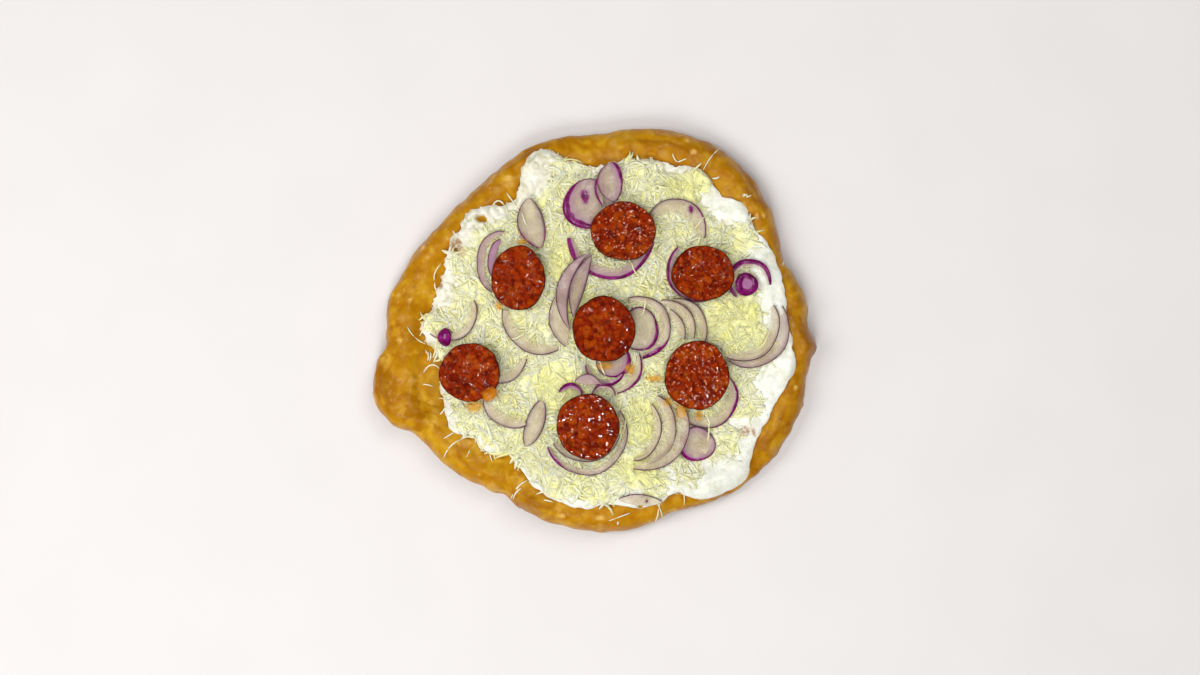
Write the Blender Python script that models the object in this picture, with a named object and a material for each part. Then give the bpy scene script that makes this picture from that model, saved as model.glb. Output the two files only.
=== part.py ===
"""Langos: a fried flatbread with sour cream, grated cheese, red onion and sausage slices.

Lengths in this script are in millimetres, and add_solid turns them into metres. Z = 0 is the
flat underside of the bread and the origin is under its middle. +X is the longer way across.

The food is built in the order in which a cook lays it: bread, cream, cheese, onion, sausage.
A height map, Ground, remembers the top of what lies there already, and each new piece is
draped on it, or set down stiff, with a small gap. Grated shreds go on last, round the toppings.
"""
import math

import bmesh
import bpy
import numpy as np

MM = 0.001
SEED = 41

# Clearance that two touching solids keep, and the cell of the height map
GAP = 0.35
CELL = 0.5
MAP_HALF_X = 126.0
MAP_HALF_Y = 114.0
DRAPE_ROUNDS = 24

# Bread: outline as (angle in degrees, radius), read round the real edge
BREAD_OUTLINE = [
    (0, 111.5), (10, 110.5), (20, 105), (30, 109), (45, 114.5), (60, 114), (73, 110), (88, 102.5),
    (108, 102), (125, 97.5), (140, 97), (155, 101.5), (172, 108.5), (185, 110), (190, 117),
    (197, 120), (204, 117.5), (210, 108), (222, 105), (235, 100), (241, 97.5), (247, 100.5),
    (265, 104), (283, 105.5), (295, 103.5), (310, 110.5), (325, 114), (342, 114.5), (350, 112.5),
    (355, 116.5),
]
BREAD_SPOKES = 88
EDGE_HEIGHT = 6.0
RIM_HEIGHT = 15.0
MIDDLE_HEIGHT = 9.5
RIM_CREST_IN = 10.0
RIM_FOOT_IN = 29.0
BREAD_TOP_RINGS = [0.9, 2.8, 6.0, 10.0, 15.0, 21.0, 28.0]
BREAD_CORE_RINGS = [0.52, 0.27]
BREAD_UNDER_RINGS = [1.4, 4.8, 10.0]
BLISTERS = 46
BLISTER_REACH = (0.76, 0.98)
BLISTER_SIZE = (4.0, 8.0)
BLISTER_HEIGHT = (-0.6, 1.5)

# Bread: single bumps and dents as (x, y, half length, half width, turn in degrees, height)
BREAD_FEATURES = {
    "lip of the left ear": (-113.0, -26.0, 12.0, 3.6, 100, 3.2),
    "hollow behind the lip": (-104.0, -26.0, 11.0, 4.5, 100, -2.6),
    "notch above the ear": (-108.5, -11.0, 5.0, 5.0, 0, -1.6),
    "knob on the right": (111.0, -9.0, 6.5, 6.0, 0, 2.4),
    "flap at the lower left": (-35.0, -89.0, 10.0, 6.0, -25, 3.0),
    "crease beside the flap": (-43.5, -86.0, 8.0, 2.6, 60, -3.2),
    "crack in the left rim": (-101.0, 17.0, 10.0, 2.5, 75, -1.8),
    "swelling at the upper right": (78.0, 72.0, 20.0, 9.0, -42, 2.2),
    "swelling at the left": (-96.0, -4.0, 9.0, 14.0, 0, 1.8),
}

# Sour cream: outline as (angle, radius), full thickness, and how it thins to its edge
CREAM_OUTLINE = [
    (0, 100.5), (10, 99.5), (22, 100.5), (33, 98.5), (41, 99.5), (47, 95), (56, 99.5), (66, 94),
    (78, 91.5), (88, 85.5), (97, 87.5), (107, 96.5), (113, 91.5), (122, 79.5), (132, 84.5),
    (143, 87), (156, 85.5), (169, 83.5), (180, 90), (190, 82.5), (202, 85), (214, 89.5),
    (221, 83), (229, 84.5), (236, 79), (250, 87), (264, 92), (275, 90), (288, 95.5), (295, 93.5),
    (305, 104), (315, 108.5), (322, 103), (332, 99.5), (345, 103), (350, 105), (356, 102),
]
CREAM_SPOKES = 72
CREAM_RINGS = [0.45, 0.8, 0.93, 1.0]
CREAM_THICKNESS = 3.6
CREAM_EDGE = 1.0
CREAM_LUMPS = 40
CREAM_LUMP_REACH = (0.3, 0.97)
CREAM_LUMP_SIZE = (5.0, 10.0)
CREAM_LUMP_HEIGHT = (-1.0, 1.5)

# How far in from its edge a spread layer reaches its full thickness
LAYER_SLOPE = 9.0

# Grated cheese: how far its core stays inside the cream, as (angle, distance)
CHEESE_INSET = [
    (0, 14), (25, 15), (45, 13), (60, 7), (80, 5), (97, 8), (110, 17), (125, 7), (145, 12),
    (165, 9), (185, 5), (205, 4), (235, 3), (265, 5), (285, 9), (300, 22), (315, 30), (330, 21),
    (345, 16),
]
CHEESE_SPOKES = 44
CHEESE_RINGS = [0.38, 0.72, 1.0]
CHEESE_THICKNESS = 3.4
CHEESE_EDGE = 1.1
CHEESE_LUMPS = 60
CHEESE_LUMP_REACH = (0.0, 0.9)
CHEESE_LUMP_SIZE = (5.0, 11.0)
CHEESE_LUMP_HEIGHT = (-0.9, 1.3)

# Shreds fused on the cheese: sizes, how many, and how deep they sit in the core
SHREDS = 150
SHRED_LENGTH = (9.0, 19.0)
BENT_FROM = 13.0
SHRED_WIDTH = 1.7
SHRED_HEIGHT = 1.5
SHRED_SINK = 0.6
SHRED_CLEARANCE = 0.9
SHRED_BEND = 0.16
SHRED_SPACING = 0.3
SHRED_TRIES = 30000

# Long shreds that run off the heap, as (x, y) of the fused end and (x, y) of the free end
STRAY_SHREDS = [
    ((54.0, 80.0), (63.5, 93.5)), ((-84.0, -4.5), (-95.5, 3.0)), ((-79.0, -22.0), (-89.5, -18.0)),
    ((-68.0, -54.0), (-78.5, -64.5)), ((-36.0, -73.0), (-43.5, -85.5)),
    ((16.0, -91.5), (5.0, -97.0)), ((31.5, -86.0), (30.5, -99.0)), ((-56.0, -57.0), (-60.0, -68.0)),
]

# Red onion, cut about 1.2 thick and laid in this order.
# A band is part of a ring: (x, y, outer radius in x, in y, width, first angle, last angle).
# A leaf runs between two tips: (x, y, x, y, bulge on its left, bulge on its right).
# A disc is a whole small slice: (x, y, radius in x, radius in y).
ONION_THICKNESS = 1.2
ONIONS = {
    "onion_top_disc": ("disc", -3.0, 64.5, 13.5, 13.0),
    "onion_top_sliver": ("leaf", 4.5, 63.0, 3.0, 81.5, 4.0, 0.0),
    "onion_top_leaf": ("leaf", 10.0, 66.0, 9.5, 86.5, 8.75, 4.5),
    "onion_upper_left_leaf": ("leaf", -27.5, 42.0, -34.0, 68.0, 9.0, 5.0),
    "onion_left_outer": ("band", -48.5, 34.5, 12.25, 16.5, 4.5, 80, 250),
    "onion_left_inner": ("band", -47.0, 35.0, 8.0, 12.0, 4.5, 100, 230),
    "onion_far_left": ("band", -75.0, 9.0, 14.75, 14.5, 4.5, 228, 387),
    "onion_far_left_core": ("disc", -77.0, -3.5, 3.5, 4.75),
    "onion_wide_left": ("band", -27.5, 8.0, 20.25, 20.5, 6.75, 172, 297),
    "onion_centre_left_leaf": ("leaf", -15.0, -8.5, -20.5, 17.0, 5.75, 4.5),
    "onion_under_top_slice": ("band", 8.0, 48.5, 22.5, 22.5, 6.25, 183, 352),
    "onion_tall_crescent": ("leaf", -11.5, 0.0, -1.5, 39.5, 13.25, -6.25),
    "onion_tall_leaf": ("leaf", -11.0, 6.5, -1.5, 38.5, 6.5, 1.5),
    "onion_right_of_top_slice": ("band", 41.5, 52.5, 15.75, 15.25, 8.75, -20, 150),
    "onion_under_right_slice": ("band", 53.0, 30.5, 16.5, 16.0, 5.0, 130, 290),
    "onion_far_right_ring": ("band", 79.0, 25.5, 11.25, 11.25, 4.5, -12, 232),
    "onion_far_right_core": ("disc", 77.5, 23.5, 6.0, 6.0),
    "onion_centre_ring": ("band", 23.0, 1.5, 16.0, 16.25, 4.5, -85, 112),
    "onion_centre_slice": ("disc", 22.5, 0.5, 10.25, 11.25),
    "onion_fan_upper_outer": ("band", 41.5, 0.5, 16.25, 16.25, 4.0, -25, 95),
    "onion_fan_upper_middle": ("band", 36.5, 0.0, 15.25, 15.75, 4.0, -15, 100),
    "onion_fan_upper_inner": ("band", 31.0, -2.5, 15.5, 16.0, 3.5, -8, 58),
    "onion_right_sweep_outer": ("band", 79.5, 1.0, 20.25, 20.25, 5.0, 237, 395),
    "onion_right_sweep_inner": ("band", 75.5, 3.0, 19.0, 19.0, 5.75, 245, 392),
    "onion_under_lower_right_slice": ("band", 57.5, -34.5, 16.25, 16.0, 6.75, 219, 401),
    "onion_lower_right_disc": ("disc", 52.5, -58.5, 9.5, 9.0),
    "onion_fan_lower_first": ("band", 20.0, -50.0, 14.25, 17.0, 4.0, -92, 48),
    "onion_fan_lower_second": ("band", 23.0, -50.0, 19.0, 19.5, 4.0, -75, 60),
    "onion_fan_lower_third": ("band", 25.5, -50.0, 23.0, 22.0, 4.5, -105, 35),
    "onion_lower_outer": ("band", -4.5, -52.5, 21.25, 21.75, 3.5, 200, 393),
    "onion_lower_inner": ("band", -5.0, -50.0, 18.5, 17.5, 5.0, 207, 345),
    "onion_lower_left_leaf": ("leaf", -35.5, -59.0, -27.5, -36.0, 4.0, 5.75),
    "onion_left_low_ring": ("band", -42.0, -34.5, 15.75, 15.75, 5.75, 183, 297),
    "onion_left_middle_ring": ("band", -49.5, -12.5, 15.0, 15.0, 5.0, 250, 352),
    "onion_below_centre_slice": ("disc", 9.5, -15.0, 9.0, 9.5),
    "onion_below_centre_ring": ("band", 5.5, -17.0, 10.75, 12.0, 3.5, 185, 330),
    "onion_below_centre_outer": ("band", 10.0, -18.0, 14.5, 14.5, 4.5, 275, 385),
    "onion_small_left": ("band", -12.5, -33.0, 6.25, 6.25, 3.0, 0, 165),
    "onion_small_right": ("band", 4.5, -33.5, 6.25, 6.25, 3.0, 0, 170),
    "onion_small_flat": ("leaf", -10.5, -26.0, 3.0, -27.0, 4.5, 1.5),
    "onion_bottom_sliver": ("leaf", 12.0, -86.5, 34.5, -88.0, 3.5, 2.5),
}

# Sausage slices: (x, y, radius in x, radius in y)
SLICE_THICKNESS = 4.4
SLICE_SIDES = 16
SLICE_UNDER_EDGE = 0.9
SLICE_TOP_EDGE = 1.1
SLICE_DISH = 0.7
SLICES = {
    "sausage_slice_top": (14.5, 50.5, 16.5, 15.25),
    "sausage_slice_upper_left": (-39.0, 26.5, 14.0, 16.25),
    "sausage_slice_upper_right": (55.0, 29.0, 16.25, 14.0),
    "sausage_slice_centre": (4.5, 0.5, 16.25, 16.5),
    "sausage_slice_left": (-64.0, -21.5, 16.0, 14.75),
    "sausage_slice_lower_right": (52.0, -23.0, 16.25, 18.0),
    "sausage_slice_bottom": (-3.5, -49.0, 16.0, 17.0),
}

# Colours as linear red, green, blue, then roughness
BREAD_LOOK = ((0.50, 0.23, 0.03), 0.42)
CREAM_LOOK = ((0.86, 0.88, 0.80), 0.30)
CHEESE_LOOK = ((0.80, 0.77, 0.42), 0.50)
ONION_LOOK = ((0.62, 0.45, 0.50), 0.30)
SAUSAGE_LOOK = ((0.26, 0.035, 0.008), 0.28)


def remove_old_objects():
    for old in list(bpy.data.objects):
        bpy.data.objects.remove(old)


def make_material(name, look):
    colour, roughness = look
    material = bpy.data.materials.new(name)
    material.use_nodes = True
    shader = material.node_tree.nodes["Principled BSDF"]
    shader.inputs["Base Color"].default_value = (*colour, 1.0)
    shader.inputs["Roughness"].default_value = roughness
    shader.inputs["Metallic"].default_value = 0.0
    return material


def add_solid(name, points, faces, material):
    """Make one object from points in millimetres and faces that point out."""
    mesh = bpy.data.meshes.new(name)
    mesh.from_pydata([tuple(p * MM) for p in points], [], [tuple(f) for f in faces])
    mesh.validate()
    mesh.materials.append(material)
    solid = bpy.data.objects.new(name, mesh)
    bpy.context.scene.collection.objects.link(solid)
    return solid


def closed_curve(stops):
    """A smooth closed radius curve through (angle, radius) stops, as a function of the angle."""
    angles = np.array([a for a, _ in stops], float)
    radii = np.array([r for _, r in stops], float)
    before, after = np.roll(angles, 1), np.roll(angles, -1)
    before[0] -= 360.0
    after[-1] += 360.0
    slopes = (np.roll(radii, -1) - np.roll(radii, 1)) / (after - before)

    def radius(angle):
        a = np.mod(angle - angles[0], 360.0) + angles[0]
        i = np.searchsorted(angles, a, side="right") - 1
        span = after[i] - angles[i]
        t = (a - angles[i]) / span
        j = (i + 1) % len(angles)
        start = (2 * t**3 - 3 * t**2 + 1) * radii[i] + (t**3 - 2 * t**2 + t) * span * slopes[i]
        end = (3 * t**2 - 2 * t**3) * radii[j] + (t**3 - t**2) * span * slopes[j]
        return start + end

    return radius


def smooth_step(t):
    t = np.clip(t, 0.0, 1.0)
    return t * t * (3.0 - 2.0 * t)


def bump(x, y, feature):
    """Height at x, y of one rounded bump or dent."""
    cx, cy, long_half, short_half, turn, height = feature
    c, s = math.cos(math.radians(turn)), math.sin(math.radians(turn))
    u = ((x - cx) * c + (y - cy) * s) / long_half
    v = ((y - cy) * c - (x - cx) * s) / short_half
    return height * np.exp(-(u * u + v * v))


def polar(radius, angle):
    return radius * math.cos(math.radians(angle)), radius * math.sin(math.radians(angle))


def random_bumps(rng, count, reach, size, height):
    """Seeded bumps spread over the ring between two fractions of the bread's radius."""
    bumps = []
    for _ in range(count):
        angle = rng.uniform(0.0, 360.0)
        radius = bread_radius(angle) * math.sqrt(rng.uniform(reach[0] ** 2, reach[1] ** 2))
        half = rng.uniform(*size)
        narrow, turn = half * rng.uniform(0.65, 1.0), rng.uniform(0.0, 180.0)
        bumps.append((*polar(radius, angle), half, narrow, turn, rng.uniform(*height)))
    return bumps


class Ground:
    """Height map of the top of everything laid so far."""

    def __init__(self):
        self.columns = int(2 * MAP_HALF_X / CELL) + 1
        self.rows = int(2 * MAP_HALF_Y / CELL) + 1
        self.height = np.zeros((self.rows, self.columns))

    def cells(self, xy):
        col = np.clip(np.rint((xy[:, 0] + MAP_HALF_X) / CELL).astype(int), 1, self.columns - 2)
        row = np.clip(np.rint((xy[:, 1] + MAP_HALF_Y) / CELL).astype(int), 1, self.rows - 2)
        return row, col

    def span(self, low, high, half):
        """Numbers of the map's lines between two places along one axis."""
        return np.arange(math.ceil((low + half) / CELL), (high + half) / CELL + 1e-9)

    def cover(self, points, faces):
        """Map points under each triangle: rows, columns, corner numbers and corner weights."""
        parts = []
        for face in faces:
            a, b, c = (points[i][:2] for i in face)
            area = (b[0] - a[0]) * (c[1] - a[1]) - (b[1] - a[1]) * (c[0] - a[0])
            if abs(area) < 1e-4:
                continue
            low, high = np.min([a, b, c], axis=0), np.max([a, b, c], axis=0)
            lines = self.span(low[0], high[0], MAP_HALF_X), self.span(low[1], high[1], MAP_HALF_Y)
            col, row = (grid.ravel().astype(int) for grid in np.meshgrid(*lines))
            x, y = col * CELL - MAP_HALF_X, row * CELL - MAP_HALF_Y
            wb = ((x - a[0]) * (c[1] - a[1]) - (y - a[1]) * (c[0] - a[0])) / area
            wc = ((b[0] - a[0]) * (y - a[1]) - (b[1] - a[1]) * (x - a[0])) / area
            wa = 1.0 - wb - wc
            inside = (wa > -1e-6) & (wb > -1e-6) & (wc > -1e-6)
            corners = np.tile(face, (int(inside.sum()), 1))
            weights = np.stack([wa, wb, wc], axis=1)[inside]
            parts.append((row[inside], col[inside], corners, weights))
        if not parts:
            return [np.zeros(0, int), np.zeros(0, int), np.zeros((0, 3), int), np.zeros((0, 3))]
        return [np.concatenate(column) for column in zip(*parts)]

    def widened(self):
        """The map with each cell raised to its highest neighbour."""
        padded = np.pad(self.height, 1, mode="edge")
        shifts = [padded[i:i + self.rows, j:j + self.columns] for i in range(3) for j in range(3)]
        return np.max(shifts, axis=0)

    def lay(self, points, faces):
        """Raise the map to the given top faces."""
        row, col, corners, weights = self.cover(points, faces)
        heights = (points[corners, 2] * weights).sum(axis=1)
        np.maximum.at(self.height, (row, col), heights)

    def drape(self, plan, faces):
        """Underside heights for a limp sheet whose every face clears the map by the gap."""
        top = self.widened()
        height = top[self.cells(plan)] + GAP
        row, col, corners, weights = self.cover(plan, faces)
        need = top[row, col] + GAP
        share = weights / (weights**2).sum(axis=1, keepdims=True)
        for _ in range(DRAPE_ROUNDS):
            short = need - (height[corners] * weights).sum(axis=1)
            low = short > 1e-4
            if not low.any():
                break
            lift = np.zeros_like(height)
            np.maximum.at(lift, corners[low].ravel(), (short[low, None] * share[low]).ravel())
            height += lift
        return height

    def rest(self, points, faces):
        """How far a stiff piece at height 0, tilted to fit, is turned and raised to lie here."""
        top = self.widened()
        row, col, corners, weights = self.cover(points, faces)
        x, y = col * CELL - MAP_HALF_X, row * CELL - MAP_HALF_Y
        under = (points[corners, 2] * weights).sum(axis=1)
        terms = np.stack([x, y, np.ones_like(x)], axis=1)
        slope_x, slope_y, level = np.linalg.lstsq(terms, top[row, col] - under, rcond=None)[0]
        tilted = under + slope_x * x + slope_y * y + level
        return slope_x, slope_y, level + (top[row, col] - tilted).max() + GAP


def rows_grid(rows, closed):
    """Triangles between rows of equally many points, each numbered along its row."""
    count = len(rows[0])
    steps = count if closed else count - 1
    faces = []
    for lower, upper in zip(rows, rows[1:]):
        for i in range(steps):
            j = (i + 1) % count
            faces.append((lower[i], lower[j], upper[j]))
            faces.append((lower[i], upper[j], upper[i]))
    return faces


def fan(ring, centre):
    return [(ring[i], ring[(i + 1) % len(ring)], centre) for i in range(len(ring))]


def turn_over(faces):
    return [tuple(reversed(face)) for face in faces]


def round_plan(radius, spokes, rings):
    """Plan of a round sheet: outline ring last, middle point first, faces seen from above."""
    points = [(0.0, 0.0)]
    rows = []
    for fraction in rings:
        rows.append(list(range(len(points), len(points) + spokes)))
        for k in range(spokes):
            angle = 360.0 * k / spokes
            points.append(polar(radius(angle) * fraction, angle))
    faces = turn_over(rows_grid(rows, True)) + fan(rows[0], 0)
    return np.array(points), faces, rows[-1]


def slab(plan, faces, edge, under, top):
    """Closed solid between two height lists over one plan; both sides have the same triangles."""
    count = len(plan)
    points = np.vstack([np.column_stack([plan, under]), np.column_stack([plan, top])])
    upper = [tuple(i + count for i in face) for face in faces]
    walls = []
    for i, here in enumerate(edge):
        after = edge[(i + 1) % len(edge)]
        walls.append((here, after, after + count))
        walls.append((here, after + count, here + count))
    return points, turn_over(faces) + walls + upper, upper


def band_plan(cx, cy, rx, ry, width, start, end):
    """Plan of part of an onion ring: full width along its middle, narrow at both ends."""
    steps = max(5, round((end - start) * max(rx, ry) / 300.0))
    outer, inner = [], []
    for k in range(steps + 1):
        t = k / steps
        angle = math.radians(start + (end - start) * t)
        kept = width * (0.35 + 0.65 * math.sin(math.pi * t) ** 0.5)
        outer.append((cx + rx * math.cos(angle), cy + ry * math.sin(angle)))
        inner.append((cx + (rx - kept) * math.cos(angle), cy + (ry - kept) * math.sin(angle)))
    count = steps + 1
    faces = rows_grid([list(range(count, 2 * count)), list(range(count))], False)
    edge = list(range(count)) + list(range(2 * count - 1, count - 1, -1))
    return np.array(outer + inner), turn_over(faces), edge


def leaf_plan(x0, y0, x1, y1, left, right):
    """Plan of a leaf between two tips, with a bulge to each side of the line between them."""
    steps = 7
    start, way = np.array([x0, y0]), np.array([x1 - x0, y1 - y0])
    side = np.array([-way[1], way[0]]) / np.hypot(*way)
    points = [start]
    for k in range(1, steps):
        swell = math.sin(math.pi * k / steps) ** 0.8
        middle = start + way * k / steps
        points += [middle - side * right * swell, middle + side * left * swell]
    points.append(start + way)
    last = len(points) - 1
    faces = [(0, 1, 2), (last - 2, last, last - 1)]
    for k in range(1, last - 3, 2):
        faces += [(k, k + 2, k + 3), (k, k + 3, k + 1)]
    edge = [0] + list(range(1, last, 2)) + [last] + list(range(last - 1, 1, -2))
    return np.array(points), faces, edge


def disc_plan(cx, cy, rx, ry):
    """Plan of a whole slice, a little uneven."""
    sides = 14
    points = [(cx, cy)]
    for fraction in (0.55, 1.0):
        for k in range(sides):
            angle = 2 * math.pi * k / sides
            uneven = fraction * (1.0 + 0.04 * math.sin(3 * angle + cx))
            points.append((cx + rx * uneven * math.cos(angle), cy + ry * uneven * math.sin(angle)))
    inner, outer = list(range(1, sides + 1)), list(range(sides + 1, 2 * sides + 1))
    return np.array(points), turn_over(rows_grid([inner, outer], True)) + fan(inner, 0), outer


PLANS = {"band": band_plan, "leaf": leaf_plan, "disc": disc_plan}
bread_radius = closed_curve(BREAD_OUTLINE)
cream_radius = closed_curve(CREAM_OUTLINE)
cheese_inset = closed_curve(CHEESE_INSET)


def cheese_radius(angle):
    return cream_radius(angle) - cheese_inset(angle)


def bread_top(x, y, distance_in, bumps):
    """Height of the bread's upper face at a distance inwards from its edge."""
    rise = np.sqrt(np.clip(1.0 - (1.0 - np.minimum(distance_in / RIM_CREST_IN, 1.0)) ** 2, 0.0, 1.0))
    fall = smooth_step((distance_in - RIM_CREST_IN) / (RIM_FOOT_IN - RIM_CREST_IN))
    height = EDGE_HEIGHT + (RIM_HEIGHT - EDGE_HEIGHT) * rise - (RIM_HEIGHT - MIDDLE_HEIGHT) * fall
    relief = sum(bump(x, y, feature) for feature in bumps)
    angle = np.arctan2(y, x)
    waves = 0.9 * np.sin(3 * angle + 0.7) + 0.7 * np.sin(5 * angle + 2.1)
    return height + (relief + waves) * smooth_step(distance_in / (0.6 * RIM_CREST_IN))


def build_bread(material, ground, rng):
    """One closed loaf: flat underside, rounded edge, raised rim and a lower middle."""
    bumps = list(BREAD_FEATURES.values())
    bumps += random_bumps(rng, BLISTERS, BLISTER_REACH, BLISTER_SIZE, BLISTER_HEIGHT)
    angles = [360.0 * k / BREAD_SPOKES for k in range(BREAD_SPOKES)]
    points, rows = [], []

    def add_ring(inset_at, height_at):
        rows.append(list(range(len(points), len(points) + BREAD_SPOKES)))
        for angle in angles:
            inset = inset_at(bread_radius(angle))
            x, y = polar(bread_radius(angle) - inset, angle)
            points.append((x, y, height_at(x, y, inset)))

    def under_height(x, y, inset):
        flat = 1.0 - inset / BREAD_UNDER_RINGS[-1]
        return EDGE_HEIGHT * (1.0 - math.sqrt(1.0 - flat**2))

    def top_height(x, y, inset):
        return float(bread_top(x, y, inset, bumps))

    for depth in reversed(BREAD_UNDER_RINGS):
        add_ring(lambda radius: depth, under_height)
    add_ring(lambda radius: 0.0, lambda x, y, inset: EDGE_HEIGHT)
    first_top = len(rows)
    for depth in BREAD_TOP_RINGS:
        add_ring(lambda radius: depth, top_height)
    for fraction in BREAD_CORE_RINGS:
        add_ring(lambda radius: radius * (1.0 - fraction), top_height)
    top_middle, under_middle = len(points), len(points) + 1
    points.append((0.0, 0.0, top_height(0.0, 0.0, bread_radius(0.0))))
    points.append((0.0, 0.0, 0.0))
    points = np.array(points)
    top_faces = rows_grid(rows[first_top - 1:], True) + fan(rows[-1], top_middle)
    faces = turn_over(fan(rows[0], under_middle)) + rows_grid(rows[:first_top], True) + top_faces
    ground.lay(points, top_faces)
    return add_solid("bread", points, faces, material)


def build_layer(name, radius, grid, thickness, edge, lumps, material, ground):
    """A lumpy sheet that lies on the food and thins towards its edge."""
    plan, faces, outline = round_plan(radius, *grid)
    under = ground.drape(plan, faces)
    angle = np.degrees(np.arctan2(plan[:, 1], plan[:, 0]))
    outer = np.array([radius(a) for a in angle])
    distance_in = outer - np.hypot(plan[:, 0], plan[:, 1])
    full = smooth_step(distance_in / LAYER_SLOPE + 0.12)
    relief = sum(bump(plan[:, 0], plan[:, 1], lump) for lump in lumps)
    top = np.maximum(under + edge + (thickness - edge + relief) * full, under + 0.7 * edge)
    points, all_faces, top_faces = slab(plan, faces, outline, under, top)
    ground.lay(points, top_faces)
    return add_solid(name, points, all_faces, material), points, top_faces


def build_onion(name, spec, material, ground):
    plan, faces, edge = PLANS[spec[0]](*spec[1:])
    under = ground.drape(plan, faces)
    points, all_faces, top_faces = slab(plan, faces, edge, under, under + ONION_THICKNESS)
    ground.lay(points, top_faces)
    return add_solid(name, points, all_faces, material)


def build_slice(name, size, material, ground):
    """A stiff, slightly dished slice with rounded edges, laid where it rests."""
    cx, cy, rx, ry = size
    profile = [
        (0.90, 0.0), (1.0, SLICE_UNDER_EDGE), (1.0, SLICE_THICKNESS - SLICE_TOP_EDGE),
        (0.93, SLICE_THICKNESS), (0.62, SLICE_THICKNESS - 0.7 * SLICE_DISH),
    ]
    points, rows = [(cx, cy, 0.0)], []
    for fraction, height in profile:
        rows.append(list(range(len(points), len(points) + SLICE_SIDES)))
        for k in range(SLICE_SIDES):
            angle = 2 * math.pi * k / SLICE_SIDES
            wobble = 0.015 * math.sin(2 * angle + cx) + 0.012 * math.sin(5 * angle + cy)
            out = fraction * (1.0 + wobble)
            points.append((cx + rx * out * math.cos(angle), cy + ry * out * math.sin(angle), height))
    middle = len(points)
    points.append((cx, cy, SLICE_THICKNESS - SLICE_DISH))
    points = np.array(points)
    lower = turn_over(fan(rows[0], 0)) + rows_grid(rows[:2], True)
    upper = rows_grid(rows[1:], True) + fan(rows[-1], middle)
    slope_x, slope_y, level = ground.rest(points, lower)
    points[:, 2] += slope_x * points[:, 0] + slope_y * points[:, 1] + level
    ground.lay(points, upper)
    return add_solid(name, points, lower + upper, material)


def shred_solid(path, width, height):
    """A strip of four sides along two or more points."""
    points, rows = [], []
    for k, middle in enumerate(path):
        before, after = path[max(k - 1, 0)], path[min(k + 1, len(path) - 1)]
        way = (after - before) / np.linalg.norm(after - before)
        side = np.array([-way[1], way[0], 0.0])
        side *= 0.5 * width / np.linalg.norm(side)
        rise = np.array([0.0, 0.0, 0.5 * height])
        rows.append(list(range(len(points), len(points) + 4)))
        points += [middle - side - rise, middle + side - rise]
        points += [middle + side + rise, middle - side + rise]
    faces = turn_over(rows_grid(rows, True))
    first, last = rows[0], rows[-1]
    faces += [(first[0], first[1], first[2]), (first[0], first[2], first[3])]
    faces += [(last[0], last[2], last[1]), (last[0], last[3], last[2])]
    return np.array(points), faces


def strip_cells(ground, path, reach):
    """Map cells within a reach of a path."""
    cells = []
    for a, b in zip(path, path[1:]):
        steps = max(2, int(np.hypot(*(b - a)[:2]) / CELL) + 1)
        for t in np.linspace(0.0, 1.0, steps):
            x, y = (a + (b - a) * t)[:2]
            spread = np.arange(-reach, reach + 1e-9, CELL)
            gx, gy = np.meshgrid(x + spread, y + spread)
            near = np.hypot(gx - x, gy - y) <= reach
            cells.append(np.column_stack([gx[near], gy[near]]))
    return ground.cells(np.vstack(cells))


def fuse(core, shreds):
    """Join the shreds to the core, then drop what the join left loose or sealed inside."""
    heap = bpy.data.collections.new("shreds")
    bpy.context.scene.collection.children.link(heap)
    for shred in shreds:
        bpy.context.scene.collection.objects.unlink(shred)
        heap.objects.link(shred)
    join = core.modifiers.new("join", "BOOLEAN")
    join.operation = "UNION"
    join.operand_type = "COLLECTION"
    join.collection = heap
    join.solver = "EXACT"
    joined = bpy.data.meshes.new_from_object(core.evaluated_get(bpy.context.evaluated_depsgraph_get()))
    core.modifiers.clear()
    core.data = joined
    joined.name = core.name
    for shred in list(heap.objects):
        bpy.data.objects.remove(shred)
    bpy.data.collections.remove(heap)
    keep_largest_shell(joined)


def keep_largest_shell(mesh):
    shape = bmesh.new()
    shape.from_mesh(mesh)
    bmesh.ops.remove_doubles(shape, verts=shape.verts, dist=0.01 * MM)
    bmesh.ops.triangulate(shape, faces=shape.faces)
    unseen = set(shape.verts)
    shells = []
    while unseen:
        stack = [unseen.pop()]
        shell = list(stack)
        while stack:
            for edge in stack.pop().link_edges:
                for vertex in edge.verts:
                    if vertex in unseen:
                        unseen.remove(vertex)
                        stack.append(vertex)
                        shell.append(vertex)
        shells.append(shell)
    shells.sort(key=len)
    for shell in shells[:-1]:
        bmesh.ops.delete(shape, geom=shell, context="VERTS")
    shape.to_mesh(mesh)
    shape.free()


def lift_over(path, loose, core, floor, width):
    """Raise the loose spots of a shred until it clears all that isn't its core, if it can."""
    for _ in range(4):
        lack = 0.0
        for a, b in zip(path, path[1:]):
            for t in np.linspace(0.0, 1.0, 12):
                spot = a + (b - a) * t
                near = strip_cells(core, [spot, spot], 0.5 * width + CELL)
                off_core = core.height[near] == 0.0
                if off_core.any():
                    need = floor[near][off_core].max() + GAP + 0.5 * SHRED_HEIGHT
                    lack = max(lack, need - spot[2])
        if lack < 0.02:
            return True
        path[loose, 2] += 1.3 * lack
    return False


def spread_mask(mask, reach):
    """A mask grown by a reach on all sides."""
    grown = mask
    for _ in range(round(reach / CELL)):
        padded = np.pad(grown, 1)
        across = padded[1:-1, :-2] | padded[1:-1, 2:]
        grown = grown | across | padded[:-2, 1:-1] | padded[2:, 1:-1]
    return grown


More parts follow.
